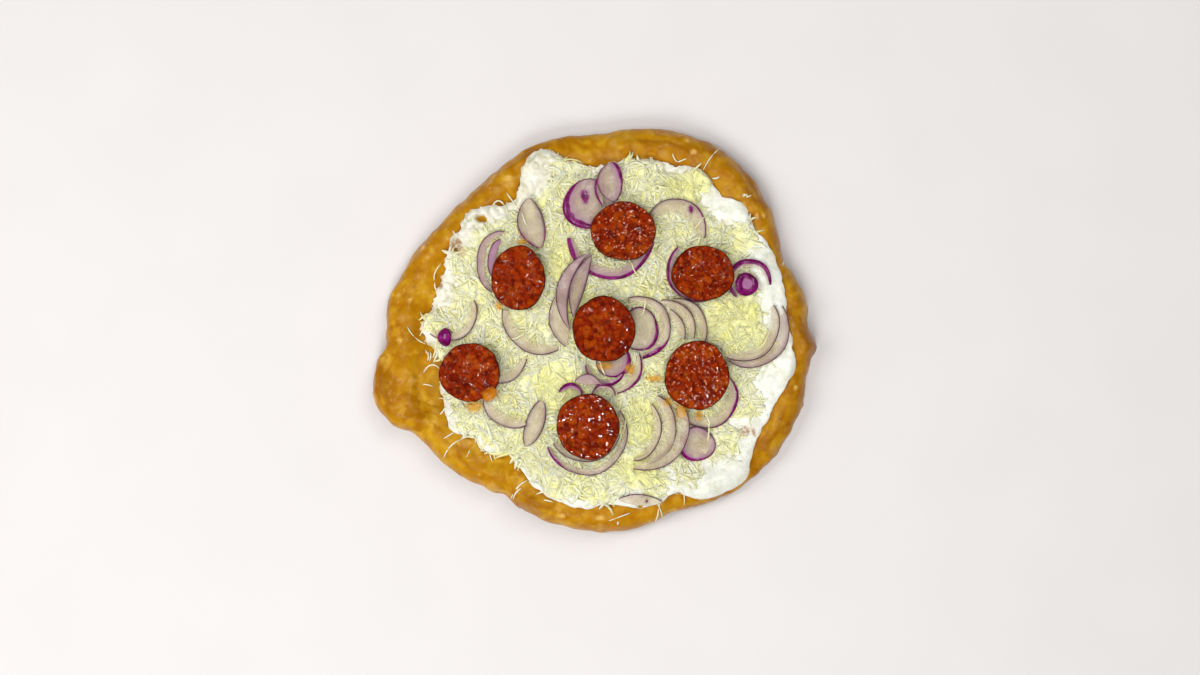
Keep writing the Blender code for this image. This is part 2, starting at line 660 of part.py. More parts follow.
def build_shreds(core, ground, toppings, material, rng):
    """Shreds over the cheese, each clear of the toppings and of the middles of earlier shreds."""
    floor = ground.widened()
    blocked = spread_mask(toppings, 0.5 * SHRED_WIDTH + SHRED_CLEARANCE)
    shreds = []

    def try_shred(path, width):
        path = np.array(path)
        line = [a + (b - a) * t for a, b in zip(path, path[1:]) for t in np.linspace(0.0, 1.0, 10)]
        if blocked[core.cells(np.array(line))].any():
            return
        below = core.height[core.cells(path[:, :2])]
        loose = below == 0.0
        rest = floor[core.cells(path[:, :2])] + GAP + 0.5 * SHRED_HEIGHT
        sunk = below + 0.5 * SHRED_HEIGHT - SHRED_SINK * rng.uniform(0.2, 1.0)
        path[:, 2] = np.where(loose, rest, sunk)
        if loose.all() or not lift_over(path, loose, core, floor, width):
            return
        kept_free = [path[0] + (path[-1] - path[0]) * t for t in (0.3, 0.7)]
        blocked[strip_cells(ground, kept_free, width + SHRED_SPACING)] = True
        points, faces = shred_solid(path, width, SHRED_HEIGHT)
        shreds.append(add_solid(f"shred_{len(shreds):03d}", points, faces, material))

    for start, end in STRAY_SHREDS:
        a, b = np.array([*start, 0.0]), np.array([*end, 0.0])
        way = b - a
        side = np.array([-way[1], way[0], 0.0]) * rng.uniform(-SHRED_BEND, SHRED_BEND)
        try_shred([a, a + way * 0.35 + side * 0.8, a + way * 0.7 + side * 0.7, b], SHRED_WIDTH)
    for attempt in range(SHRED_TRIES):
        angle = rng.uniform(0.0, 360.0)
        radius = cheese_radius(angle) * math.sqrt(rng.uniform(0.0, 1.0))
        length = rng.uniform(*SHRED_LENGTH) * (1.0 - 0.4 * attempt / SHRED_TRIES)
        heading = rng.uniform(0.0, 2 * math.pi)
        centre = np.array([*polar(radius, angle), 0.0])
        way = length * np.array([math.cos(heading), math.sin(heading), 0.0])
        side = np.array([-way[1], way[0], 0.0]) * rng.uniform(-SHRED_BEND, SHRED_BEND)
        path = [centre - way / 2, centre + way / 2]
        if length > BENT_FROM:
            path.insert(1, centre + side)
        try_shred(path, SHRED_WIDTH * rng.uniform(0.85, 1.15))
        if len(shreds) == SHREDS:
            break
    return shreds


def main():
    remove_old_objects()
    rng = np.random.default_rng(SEED)
    ground = Ground()
    bread = make_material("fried_dough", BREAD_LOOK)
    cream = make_material("sour_cream", CREAM_LOOK)
    cheese = make_material("grated_cheese", CHEESE_LOOK)
    onion = make_material("red_onion", ONION_LOOK)
    sausage = make_material("sausage", SAUSAGE_LOOK)

    build_bread(bread, ground, rng)
    lumps = random_bumps(rng, CREAM_LUMPS, CREAM_LUMP_REACH, CREAM_LUMP_SIZE, CREAM_LUMP_HEIGHT)
    grid = (CREAM_SPOKES, CREAM_RINGS)
    build_layer("sour_cream", cream_radius, grid, CREAM_THICKNESS, CREAM_EDGE, lumps, cream, ground)
    lumps = random_bumps(rng, CHEESE_LUMPS, CHEESE_LUMP_REACH, CHEESE_LUMP_SIZE, CHEESE_LUMP_HEIGHT)
    grid = (CHEESE_SPOKES, CHEESE_RINGS)
    core, points, top_faces = build_layer(
        "grated_cheese", cheese_radius, grid, CHEESE_THICKNESS, CHEESE_EDGE, lumps, cheese, ground)

    bare_core = Ground()
    bare_core.lay(points, top_faces)
    before = ground.height.copy()
    for name, spec in ONIONS.items():
        build_onion(name, spec, onion, ground)
    for name, size in SLICES.items():
        build_slice(name, size, sausage, ground)
    toppings = ground.height > before + 1e-6
    fuse(core, build_shreds(bare_core, ground, toppings, cheese, rng))


main()
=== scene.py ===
# Looks of a langos: a fried flatbread with sour cream, grated cheese, red onion and slices of sausage.
# Lengths are in millimetres and angles in degrees. Meshes and the camera go to Blender in metres.
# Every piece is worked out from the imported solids, so that it lies where its node lies.
import math

import bpy
import numpy as np
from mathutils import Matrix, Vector


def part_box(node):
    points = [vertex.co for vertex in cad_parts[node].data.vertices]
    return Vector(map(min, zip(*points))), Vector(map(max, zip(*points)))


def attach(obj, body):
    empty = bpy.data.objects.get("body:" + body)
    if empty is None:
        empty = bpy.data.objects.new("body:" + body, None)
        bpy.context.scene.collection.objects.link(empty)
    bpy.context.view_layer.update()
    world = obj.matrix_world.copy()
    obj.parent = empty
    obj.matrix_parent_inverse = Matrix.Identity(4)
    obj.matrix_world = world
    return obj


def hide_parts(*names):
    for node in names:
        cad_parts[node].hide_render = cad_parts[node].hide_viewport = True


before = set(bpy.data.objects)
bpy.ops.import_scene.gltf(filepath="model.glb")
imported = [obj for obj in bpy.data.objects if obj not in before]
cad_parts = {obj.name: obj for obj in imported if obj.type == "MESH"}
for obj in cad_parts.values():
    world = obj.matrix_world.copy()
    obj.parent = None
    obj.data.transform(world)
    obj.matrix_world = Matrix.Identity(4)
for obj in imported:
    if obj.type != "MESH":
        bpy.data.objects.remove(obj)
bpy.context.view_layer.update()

MM = 0.001
SEED = 20

# The photo's pixels and the place at which they show the toppings
PHOTO_MIDDLE = (600.0, 337.5)
PHOTO_MIDDLE_SHOWS = (2.6, -3.64)
PHOTO_SCALE = 0.5123

# Height maps
NEIGHBOURS = ((1, 0), (-1, 0), (0, 1), (0, -1), (1, 1), (-1, -1), (1, -1), (-1, 1))
CELL = 0.4
MAP_HALF_X = 124.0
MAP_HALF_Y = 114.0
MAP_X = np.arange(-MAP_HALF_X, MAP_HALF_X + CELL, CELL)
MAP_Y = np.arange(-MAP_HALF_Y, MAP_HALF_Y + CELL, CELL)
GRID_X, GRID_Y = np.meshgrid(MAP_X, MAP_Y)
GRID_RADIUS = np.hypot(GRID_X, GRID_Y)
GRID_ANGLE = np.degrees(np.arctan2(GRID_Y, GRID_X)) % 360
NOISE_CELLS = 256
NO_CEILING = 90.0

# Bread
BREAD_SPOKES = 88
BREAD_TIMES = 6
BREAD_UNDER_LEVEL = 4.6
BREAD_RIM = 28.0
BREAD_STEPS = [2, 2, 5, 7, 6, 5, 4, 4, 3, 3, 3, 4, 4, 9]
BREAD_TOP_STATIONS = 11
BREAD_EDGE_ROW = sum(BREAD_STEPS[: BREAD_TOP_STATIONS - 1])
BREAD_BLISTERS = 260
BREAD_DENTED = 0.35
BREAD_LUMPS = ((0.65, 14, 31), (0.5, 7, 32), (0.16, 3.4, 33))
BREAD_CREASE_WIDTH = 1.6
BREAD_CREASES = [
    ((398, 281), (411, 272), (424, 269)),
    ((395, 322), (404, 338), (408, 352)),
    ((414, 385), (420, 402), (428, 418)),
    ((455, 447), (462, 462), (474, 472)),
    ((742, 165), (756, 186), (766, 208)),
    ((786, 408), (778, 432), (764, 450)),
    ((510, 166), (528, 152), (548, 143)),
    ((640, 140), (668, 142), (690, 150)),
    ((380, 366), (381.5, 389), (387, 410)),
]
# Ovals of the photo, here and below: pixel, half width and half depth
BREAD_LIP = [(376.5, 387, 2.3, 11)]
# Small raised specks of the dough whose paler colour is a painted highlight
BREAD_HIGHLIGHT_SPECKS = [
    (508, 177, 1.6, 1.4), (688, 139, 1.5, 1.1), (694, 151, 1.6, 1.2), (757, 216, 1.4, 1.1),
    (764, 215, 1, 1), (778, 372, 1.6, 1.2), (797, 388, 1.2, 1), (600, 519, 2.2, 1),
    (561, 517, 1.6, 1), (399, 340, 1.5, 1.2), (421, 246, 1.2, 1.4), (409, 300, 1.2, 0.9),
]
# Browner places of the dough: middle, reach both ways and how much browner: the ear, the flap and the knob
BREAD_BROWNER = [(-113, -27, 9, 14, 0.2), (-35, -90, 10, 8, 0.55), (112, -9, 7, 8, 0.35)]

# Sour cream
CREAM_SPOKES = 72
CREAM_TIMES = 12
CREAM_THICKNESS = 3.6
CREAM_ROUNDING = 6.5
CREAM_UNDER_RINGS = (0.97, 0.85, 0.6, 0.3)
CREAM_SUNK = 0.9
CREAM_HOLES = [
    (481.5, 219, 3.4, 1.9), (679, 499.5, 3, 3.4), (641, 507, 1.4, 1), (455, 250, 1.9, 1.2),
]
# Lobes and bays of the edge: pixel, reach and how far out or in
CREAM_LOBES = [
    (472, 209, 7, 3.6), (519, 158, 6, 2.4), (541, 152, 8, 2), (553, 168, 3, -2.4),
    (500, 193, 4, -2), (447, 236, 4, 1.6), (434, 262, 5, -1.8), (426, 300, 6, 1.5),
    (760, 415, 5, 1.5), (770, 378, 4, 1.6), (795, 320, 5, -1.4), (744, 478, 6, 1.8),
    (703, 503, 7, 3), (727, 492, 5, 1.2), (735, 205, 5, 1.4), (757, 232, 5, -1.4),
    (435, 388, 4.5, 3.4), (453, 433, 4.5, 3), (500, 468, 4, -2.4),
]
CREAM_BROWNED = [
    (456, 244, 3.6, 2.6), (462, 252, 2.8, 3), (748, 432, 4.8, 2.8), (439, 282, 1.6, 3.6),
]

# Grated cheese
MAT_RINGS = 100
MAT_SPOKES = 560
MAT_UNDER_RINGS = (0.96, 0.6, 0.25)
MAT_EDGE = 0.28
MAT_SUNK = 1.2
MAT_LUMPS = ((0.4, 4.5, 53), (0.32, 2.0, 54))
SHRED_POINTS = 6
SHRED_TAPER = (0.45, 0.9, 1.0, 1.0, 0.85, 0.35)
SHRED_SECTION = ((1, 0.6), (0.6, -1), (-1, -0.6), (-0.6, 1))
SHRED_BATCH = 60
# How many shreds, their width and their height
SHRED_KINDS = {
    "cheese_shreds_lower": (2150, 1.6, 1),
    "cheese_shreds_upper": (2550, 1.5, 0.95),
}
# Where the shreds reach further than the heap: pixel and reach
CHEESE_SPREAD = [
    (716, 438, 13), (742, 402, 11), (762, 345, 9), (688, 466, 9), (655, 484, 9),
    (742, 236, 9), (640, 166, 9), (700, 178, 8), (566, 168, 8), (446, 352, 8),
    (432, 322, 6), (462, 262, 7), (482, 240, 6), (470, 425, 7), (505, 458, 7),
    (600, 496, 7), (555, 490, 7),
]
# Shreds that the photo shows one by one, each by three pixels
STRAY_SHREDS = [
    ((720.5, 146.5), (711, 157), (703.6, 169.3)),
    ((731, 167), (729, 169.5), (728, 171.5)),
    ((713, 177.5), (716.5, 177.5), (720, 176)),
    ((743, 194), (746.5, 194.5), (749, 196.5)),
    ((786, 260), (784, 264.5), (781, 268.5)),
    ((406.6, 326.8), (413, 337), (423.8, 344)),
    ((421, 373), (429, 365), (438, 369.5)),
    ((420.6, 385), (426, 385.5), (431.4, 387.5)),
    ((436.5, 399), (441, 399), (445.5, 400.5)),
    ((443, 457.8), (450, 446.5), (460.4, 440)),
    ((460.4, 440), (467, 437.5), (474.7, 439.4)),
    ((465.5, 458), (467.5, 454.5), (469, 450.6)),
    ((423, 350), (426, 356), (425, 361)),
    ((428, 352), (428.5, 356.5), (427, 361.5)),
    ((439, 415), (442, 411), (444, 408)),
    ((443, 439), (448, 436), (453, 433)),
    ((489, 455), (490, 459), (491.5, 462)),
    ((493, 453), (493.5, 457), (495, 460.5)),
    ((476, 437), (478, 446), (484, 453)),
    ((510.4, 499.6), (517, 488), (526.7, 481.2)),
    ((512.5, 500), (516, 493), (521, 489)),
    ((543, 500.6), (548, 501), (553, 502.7)),
    ((609, 521.6), (620, 517.5), (630.6, 513.5)),
    ((656, 523.7), (658, 517), (658.7, 509.4)),
    ((663.3, 521.6), (661.5, 513), (658, 505.3)),
    ((684.7, 506.3), (684.5, 497), (682, 488)),
    ((492, 205.5), (498, 200), (504, 205)),
    ((504, 205), (506.5, 209), (507, 214)),
    ((561, 164), (569, 158.5), (583, 161.5)),
    ((563, 168), (573, 163), (590, 167)),
    ((673, 152), (674.5, 157), (678, 161)),
    ((678, 161), (682, 159.5), (687, 157.5)),
    ((705, 216), (700, 222), (695, 228.5)),
    ((433, 280), (434, 272), (440, 263)),
    ((433.5, 282), (434, 288), (439, 292)),
    ((506, 192), (511, 199), (516, 206)),
    ((450, 229), (453, 231.5), (455, 235)),
]
RIM_CRUMBS = [(618, 524), (749, 196), (745, 195), (425, 353)]
LOOSE_OVER_ONION = 9
# Places where the cheese has melted into a smooth, more golden mass; the brighter colour there is partly a
# painted highlight
CHEESE_MELTED_AND_HIGHLIT = [
    (740, 322, 20, 14), (690, 188, 14, 9), (560, 388, 14, 12), (574, 302, 10, 12),
    (640, 470, 14, 8), (640, 420, 9, 12), (563, 262, 8, 12),
]

# Oil
OIL_RINGS = 10
OIL_SPOKES = 40
OIL_SEED = 90
# Pixel, half width and depth, swell, and how far the oval is turned
OIL_STAINS = [
    (474, 406.5, 4.3, 3, 0, 0), (490.8, 393.9, 4.4, 3, 0.9, 41), (499, 306, 2.2, 2, 0, 0),
    (522, 242, 3, 1.4, 0, 0), (605, 366, 4.2, 2.2, 0, 0), (630.5, 369, 2.2, 3.2, 0, 0),
    (655, 378.5, 4.6, 1.5, 0, 0), (681, 411, 3.2, 3.8, 0, 0), (699.5, 416, 1.7, 2.6, 0, 0),
    (668, 402, 2.6, 2.4, 0, 0),
]

# Onion pieces. Band: middle, reach both ways, width, first and last angle. Leaf: both tips, how far it swells
# to the left and to the right. Disc: middle and reach both ways.
ONIONS = {
    "onion_top_disc": ("disc", -3, 64.5, 13.5, 13),
    "onion_top_sliver": ("leaf", 4.5, 63, 3, 81.5, 4, 0),
    "onion_top_leaf": ("leaf", 9.5, 86.5, 10, 66, 4.5, 8.75),
    "onion_upper_left_leaf": ("leaf", -27.5, 42, -34, 68, 9, 5),
    "onion_left_outer": ("band", -48.5, 34.5, 12.25, 16.5, 4.5, 80, 250),
    "onion_left_inner": ("band", -47, 35, 8, 12, 4.5, 100, 230),
    "onion_far_left": ("band", -75, 9, 14.75, 14.5, 4.5, 228, 387),
    "onion_far_left_core": ("disc", -77, -3.5, 3.5, 4.75),
    "onion_wide_left": ("band", -27.5, 8, 20.25, 20.5, 6.75, 172, 297),
    "onion_centre_left_leaf": ("leaf", -15, -8.5, -20.5, 17, 5.75, 4.5),
    "onion_under_top_slice": ("band", 8, 48.5, 22.5, 22.5, 6.25, 183, 352),
    "onion_tall_crescent": ("leaf", -11.5, 0, -1.5, 39.5, 13.25, -6.25),
    "onion_tall_leaf": ("leaf", -11, 6.5, -1.5, 38.5, 6.5, 1.5),
    "onion_right_of_top_slice": ("band", 41.5, 52.5, 15.75, 15.25, 8.75, -20, 150),
    "onion_under_right_slice": ("band", 53, 30.5, 16.5, 16, 5, 130, 290),
    "onion_far_right_ring": ("band", 79, 25.5, 11.25, 11.25, 4.5, -12, 232),
    "onion_far_right_core": ("disc", 77.5, 23.5, 6, 6),
    "onion_centre_ring": ("band", 23, 1.5, 16, 16.25, 4.5, -85, 112),
    "onion_centre_slice": ("disc", 22.5, 0.5, 10.25, 11.25),
    "onion_fan_upper_outer": ("band", 41.5, 0.5, 16.25, 16.25, 4, -25, 95),
    "onion_fan_upper_middle": ("band", 36.5, 0, 15.25, 15.75, 4, -15, 100),
    "onion_fan_upper_inner": ("band", 31, -2.5, 15.5, 16, 3.5, -8, 58),
    "onion_right_sweep_outer": ("band", 79.5, 1, 20.25, 20.25, 5, 237, 395),
    "onion_right_sweep_inner": ("band", 75.5, 3, 19, 19, 5.75, 245, 392),
    "onion_under_lower_right_slice": ("band", 57.5, -34.5, 16.25, 16, 6.75, 219, 401),
    "onion_lower_right_disc": ("disc", 52.5, -58.5, 9.5, 9),
    "onion_fan_lower_first": ("band", 20, -50, 14.25, 17, 4, -92, 48),
    "onion_fan_lower_second": ("band", 23, -50, 19, 19.5, 4, -75, 60),
    "onion_fan_lower_third": ("band", 25.5, -50, 23, 22, 4.5, -105, 35),
    "onion_lower_outer": ("band", -4.5, -52.5, 21.25, 21.75, 3.5, 200, 393),
    "onion_lower_inner": ("band", -5, -50, 18.5, 17.5, 5, 207, 345),
    "onion_lower_left_leaf": ("leaf", -35.5, -59, -27.5, -36, 4, 5.75),
    "onion_left_low_ring": ("band", -42, -34.5, 15.75, 15.75, 5.75, 183, 297),
    "onion_left_middle_ring": ("band", -49.5, -12.5, 15, 15, 5, 250, 352),
    "onion_below_centre_slice": ("disc", 9.5, -15, 9, 9.5),
    "onion_below_centre_ring": ("band", 5.5, -17, 10.75, 12, 3.5, 185, 330),
    "onion_below_centre_outer": ("band", 10, -18, 14.5, 14.5, 4.5, 275, 385),
    "onion_small_left": ("band", -12.5, -33, 6.25, 6.25, 3, 0, 165),
    "onion_small_right": ("band", 4.5, -33.5, 6.25, 6.25, 3, 0, 170),
    "onion_small_flat": ("leaf", -10.5, -26, 3, -27, 4.5, 1.5),
    "onion_bottom_sliver": ("leaf", 12, -86.5, 34.5, -88, 3.5, 2.5),
}
# Rings of which more flesh shows than the stiff solids have room for
FLESH_WIDTHS = {
    "onion_fan_lower_second": 7.2, "onion_fan_lower_third": 6.4, "onion_fan_upper_outer": 5.2,
    "onion_fan_upper_middle": 5.6, "onion_fan_upper_inner": 5, "onion_centre_ring": 5.4,
    "onion_right_sweep_outer": 6.2, "onion_left_low_ring": 6.5,
}
# Leaves with a thin purple line all round
LINED_ALL_ROUND = [
    "onion_upper_left_leaf", "onion_lower_left_leaf", "onion_tall_leaf", "onion_tall_crescent",
    "onion_top_leaf",
]
# How blunt the ends of a leaf are: the smaller, the blunter
BLUNT_OF_MOST = 0.8
BLUNT_ENDS = {
    "onion_lower_left_leaf": 0.45, "onion_top_leaf": 0.5, "onion_upper_left_leaf": 0.6,
    "onion_tall_crescent": 0.6, "onion_bottom_sliver": 0.6,
}
# The purple blush beside the skin: how strong it is and how far it reaches
BLUSH_OF_MOST = (0.16, 1.3)
BLUSHES = {
    "onion_lower_right_disc": (0.85, 3.4), "onion_top_leaf": (0.7, 3), "onion_top_disc": (0.2, 3),
    "onion_right_sweep_outer": (0.3, 2), "onion_fan_lower_third": (0.25, 2),
    "onion_below_centre_slice": (0.3, 3), "onion_far_right_core": (0.5, 3),
    "onion_upper_left_leaf": (0.2, 2), "onion_lower_left_leaf": (0.1, 1.5),
}
ONION_CORES = [
    (584.7, 195.4, 2.6, 3.6), (691, 208.5, 1.4, 2.6), (646.5, 501, 0.9, 0.9), (530, 404, 1, 0.8),
]
ONION_THICKNESS = 1.2
ONION_SEED = 60
DISC_COLUMNS = 96
BAND_COLUMNS = 88
# How far the purple skin reaches in from the outer edge: thin, thick, where it is thickest, over how much
SKIN_OF_MOST = (0.45, 0.45, 0.5, 0.2)
SKINS = {
    "onion_top_disc": (0.3, 4.1, 0.60, 0.20),
    "onion_top_sliver": (0.5, 1.2, 0.4, 0.3),
    "onion_top_leaf": (0.6, 1.7, 0.2, 0.3),
    "onion_upper_left_leaf": (0.45, 1, 0.25, 0.2),
    "onion_far_left_core": (2.6, 3.4, 0.7, 0.4),
    "onion_under_top_slice": (1.5, 2.7, 0.06, 0.12),
    "onion_under_right_slice": (0.7, 1.4, 0.35, 0.25),
    "onion_right_of_top_slice": (0.45, 0.9, 0.3, 0.2),
    "onion_far_right_ring": (1.6, 2.5, 0.4, 0.4),
    "onion_far_right_core": (2.6, 3.6, 0.6, 0.3),
    "onion_centre_ring": (0.5, 2.6, 0.10, 0.14),
    "onion_centre_slice": (0.7, 1.8, 0.92, 0.12),
    "onion_under_lower_right_slice": (0.5, 1.5, 0.72, 0.22),
    "onion_lower_right_disc": (0.5, 1.5, 0.60, 0.2),
    "onion_lower_outer": (0.45, 1.6, 0.05, 0.12),
    "onion_below_centre_slice": (0.6, 2, 0.93, 0.14),
    "onion_below_centre_ring": (0.7, 1.5, 0.7, 0.3),
    "onion_below_centre_outer": (0.6, 1.2, 0.5, 0.3),
    "onion_small_left": (0.7, 2, 0.6, 0.3),
    "onion_small_right": (0.5, 1, 0.5, 0.3),
}
# How purple the flesh is, from 0 to 1
TINTS = {
    "onion_top_disc": 0.35, "onion_top_leaf": 0.12, "onion_left_outer": 0.45, "onion_left_inner": 0.75,
    "onion_far_left_core": 1, "onion_tall_crescent": 0.45, "onion_tall_leaf": 0.35,
    "onion_under_top_slice": 0.4, "onion_under_right_slice": 0.35, "onion_far_right_core": 0.9,
    "onion_centre_ring": 0.12, "onion_lower_outer": 0.2, "onion_below_centre_slice": 0.3,
    "onion_below_centre_ring": 0.4, "onion_small_left": 0.6, "onion_small_right": 0.3,
    "onion_small_flat": 0.5, "onion_right_sweep_outer": 0.15,
}

# Sausage slices: middle, reach both ways, how wet the face is and how strongly it is specked with bits of fat
# and painted glints
SLICES = {
    "sausage_slice_top": (14.5, 50.5, 16.5, 15.25, 0.5, 0.9),
    "sausage_slice_upper_left": (-39, 26.5, 14, 16.25, 0.25, 0.15),
    "sausage_slice_upper_right": (55, 29, 16.25, 14, 0.25, 0.3),
    "sausage_slice_centre": (4.5, 0.5, 16.25, 16.5, 0.15, 0.05),
    "sausage_slice_left": (-64, -21.5, 16, 14.75, 0.22, 0.2),
    "sausage_slice_lower_right": (52, -23, 16.25, 18, 0.55, 0.8),
    "sausage_slice_bottom": (-3.5, -49, 16, 17, 1, 0.2),
}
SLICE_SEED = 150
WET_LUMP = 1.5
SLICE_SPOKES = 216
SLICE_ROWS = 40

# Camera and light
CAMERA_HEIGHT = 700.0
CAMERA_LENS = 39.9
FLOOR_HALF = 2.0
WORLD_STRENGTH = 0.16
# Where each light stands, its width, power and tint
LIGHTS = {
    "low": ((-0.15, -1, 1.15), 0.7, 10.7, (1, 0.985, 0.96)),
    "left": ((-1, 0, 1), 0.7, 7.9, (1, 0.99, 0.97)),
    "high": ((0.7, 0.75, 1.15), 0.7, 6.4, (1, 0.98, 0.95)),
    "glint_low": ((-0.1, -0.32, 1.2), 0.09, 1.3, (1, 1, 1)),
    "glint_high": ((0.35, 0.30, 1.2), 0.09, 1.3, (1, 1, 1)),
    "glint_left": ((-0.55, 0.1, 1.1), 0.09, 1.3, (1, 1, 1)),
}


# Numbers and maps


def rgb(red, green, blue):
    """A screen colour as Blender's linear colour."""
    share = np.array([red, green, blue]) / 255
    linear = np.where(share > 0.04045, ((share + 0.055) / 1.055) ** 2.4, share / 12.92)
    return (*linear, 1.0)


def from_photo(u, v):
    """The place, at the height of the toppings, that a pixel of the photo shows."""
    x = PHOTO_MIDDLE_SHOWS[0] + (u - PHOTO_MIDDLE[0]) * PHOTO_SCALE
    y = PHOTO_MIDDLE_SHOWS[1] - (v - PHOTO_MIDDLE[1]) * PHOTO_SCALE
    return x, y


def smooth_step(low, high, value):
    """From 0 to 1 between two values, with soft ends."""
    t = np.clip((value - low) / (high - low), 0, 1)
    return t * t * (3 - 2 * t)


def noise(x, y, size, seed):
    """Smooth noise from about -1 to 1, with lumps about as large as size."""
    turns = np.random.default_rng(seed).uniform(0, 2 * np.pi, (NOISE_CELLS, NOISE_CELLS))
    slope_x, slope_y = np.cos(turns), np.sin(turns)
    u, v = np.asarray(x) / size + turns[0, 0], np.asarray(y) / size + turns[0, 1]
    column, row = np.floor(u).astype(int), np.floor(v).astype(int)
    across, up = u - column, v - row

    def corner(right, above):
        i, j = (column + right) % NOISE_CELLS, (row + above) % NOISE_CELLS
        return slope_x[i, j] * (across - right) + slope_y[i, j] * (up - above)

    fade_x = across**3 * (across * (across * 6 - 15) + 10)
    fade_y = up**3 * (up * (up * 6 - 15) + 10)
    low = corner(0, 0) * (1 - fade_x) + corner(1, 0) * fade_x
    high = corner(0, 1) * (1 - fade_x) + corner(1, 1) * fade_x
    return 1.5 * (low * (1 - fade_y) + high * fade_y)


def layered(x, y, layers):
    """Noise in layers, each given by its height, its size and its seed."""
    return sum(height * noise(x, y, size, seed) for height, size, seed in layers)


def read_map(heights, x, y):
    """A height map read between its cells."""
    rows, columns = heights.shape
    u = np.clip((np.asarray(x) + MAP_HALF_X) / CELL, 0, columns - 1.001)
    v = np.clip((np.asarray(y) + MAP_HALF_Y) / CELL, 0, rows - 1.001)
    i, j = u.astype(int), v.astype(int)
    across, up = u - i, v - j
    low = heights[j, i] * (1 - across) + heights[j, i + 1] * across
    high = heights[j + 1, i] * (1 - across) + heights[j + 1, i + 1] * across
    return low * (1 - up) + high * up


def shifted(values, rows, columns):
    """The array moved by whole cells, its edge repeated."""
    i = np.clip(np.arange(values.shape[0]) - rows, 0, values.shape[0] - 1)
    j = np.clip(np.arange(values.shape[1]) - columns, 0, values.shape[1] - 1)
    return values[np.ix_(i, j)]


def over_window(values, reach, combine):
    """The least or greatest value within a square window."""
    result = values
    for axis in (0, 1):
        moved = [shifted(result, k * (axis == 0), k * (axis == 1)) for k in range(-reach, reach + 1)]
        result = combine.reduce(moved)
    return result


def blurred(values, reach):
    """The mean over a window, taken twice, which is close to a soft blur."""
    for _ in range(2):
        for axis in (0, 1):
            moved = [shifted(values, k * (axis == 0), k * (axis == 1)) for k in range(-reach, reach + 1)]
            values = sum(moved) / len(moved)
    return values


def spread_out(values, steps):
    """Empty cells take the mean of their neighbours, ring after ring."""
    values = values.copy()
    for _ in range(steps):
        empty = np.isnan(values)
        if not empty.any():
            break
        near = np.array([shifted(values, rows, columns) for rows, columns in NEIGHBOURS])
        count = (~np.isnan(near)).sum(axis=0)
        total = np.nansum(near, axis=0)
        fill = empty & (count > 0)
        values[fill] = total[fill] / count[fill]
    return values


def plan(radius):
    """Places on rings whose points lie evenly round, from their radius."""
    angle = np.arange(radius.shape[-1]) * 2 * np.pi / radius.shape[-1]
    return radius * np.cos(angle), radius * np.sin(angle)


def reach_of(heights, level, steps, columns):
    """How far out along each of the columns a map is last above a level."""
    x, y = plan(np.repeat(steps[:, None], columns, axis=1))
    above = read_map(heights, x, y) > level
    return steps[len(steps) - 1 - np.argmax(above[::-1], axis=0)]


def catmull(a, b, c, d, t):
    """A smooth curve from b to c at t, with its neighbours a and d."""
    return 0.5 * (2 * b + (c - a) * t + (2 * a - 5 * b + 4 * c - d) * t**2 + (3 * b - a - 3 * c + d) * t**3)


def finer_around(values, times):
    """More columns on a smooth curve through the columns of a closed ring."""
    before, after, later = (np.roll(values, k, axis=-1) for k in (1, -1, -2))
    steps = [catmull(before, values, after, later, k / times) for k in range(times)]
    return np.stack(steps, axis=-1).reshape(*values.shape[:-1], -1)


def finer_down(values, steps):
    """More rows on a smooth curve through the rows, with a number of steps after each."""
    padded = np.concatenate([[2 * values[0] - values[1]], values, [2 * values[-1] - values[-2]]])
    rows = [catmull(*padded[k : k + 4], t / count) for k, count in enumerate(steps) for t in range(count)]
    return np.array([*rows, values[-1]])


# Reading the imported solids


def node_mesh(name):
    """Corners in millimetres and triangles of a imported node."""
    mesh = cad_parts[name].data
    mesh.calc_loop_triangles()
    corners = np.empty(3 * len(mesh.vertices))
    mesh.vertices.foreach_get("co", corners)
    triangles = np.empty(3 * len(mesh.loop_triangles), int)
    mesh.loop_triangles.foreach_get("vertices", triangles)
    return corners.reshape(-1, 3) / MM, triangles.reshape(-1, 3)


def node_map(name, top=True):
    """Height of a node's top or underside in each cell of the map. Cells that it doesn't cover are empty."""
    corners, triangles = node_mesh(name)
    sign = 1 if top else -1
    found = np.full(GRID_X.shape, -np.inf)
    for x, y, z in (corners[triangles] * (1, 1, sign)).transpose(0, 2, 1):
        area = (x[1] - x[0]) * (y[2] - y[0]) - (x[2] - x[0]) * (y[1] - y[0])
        left, right = int((x.min() + MAP_HALF_X) / CELL) + 1, int((x.max() + MAP_HALF_X) / CELL) + 1
        low, high = int((y.min() + MAP_HALF_Y) / CELL) + 1, int((y.max() + MAP_HALF_Y) / CELL) + 1
        if abs(area) < 1e-6 or right <= left or high <= low:
            continue
        across, up = MAP_X[left:right] - x[0], (MAP_Y[low:high] - y[0])[:, None]
        second = (across * (y[2] - y[0]) - (x[2] - x[0]) * up) / area
        third = ((x[1] - x[0]) * up - across * (y[1] - y[0])) / area
        inside = (second >= -1e-6) & (third >= -1e-6) & (second + third <= 1 + 1e-6)
        height = z[0] + second * (z[1] - z[0]) + third * (z[2] - z[0])
        patch = found[low:high, left:right]
        np.maximum(patch, np.where(inside, height, -np.inf), out=patch)
    found[np.isinf(found)] = np.nan
    return sign * found


def window(name, margin):
    """The part of the map round a node."""
    lowest, highest = (np.array(corner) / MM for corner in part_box(name))
    left, right = (int((x + MAP_HALF_X) / CELL) for x in (lowest[0] - margin, highest[0] + margin))
    low, high = (int((y + MAP_HALF_Y) / CELL) for y in (lowest[1] - margin, highest[1] + margin))
    return slice(max(low, 0), high), slice(max(left, 0), right)


def widened_map(name, margin, blur):
    """A node's top as a smooth surface that goes on past its edges."""
    part = window(name, margin)
    found = node_map(name)
    wide = spread_out(found[part], int(margin / CELL) * 2)
    result = np.full(found.shape, np.nanmean(found))
    result[part] = blurred(wide, blur)
    return result


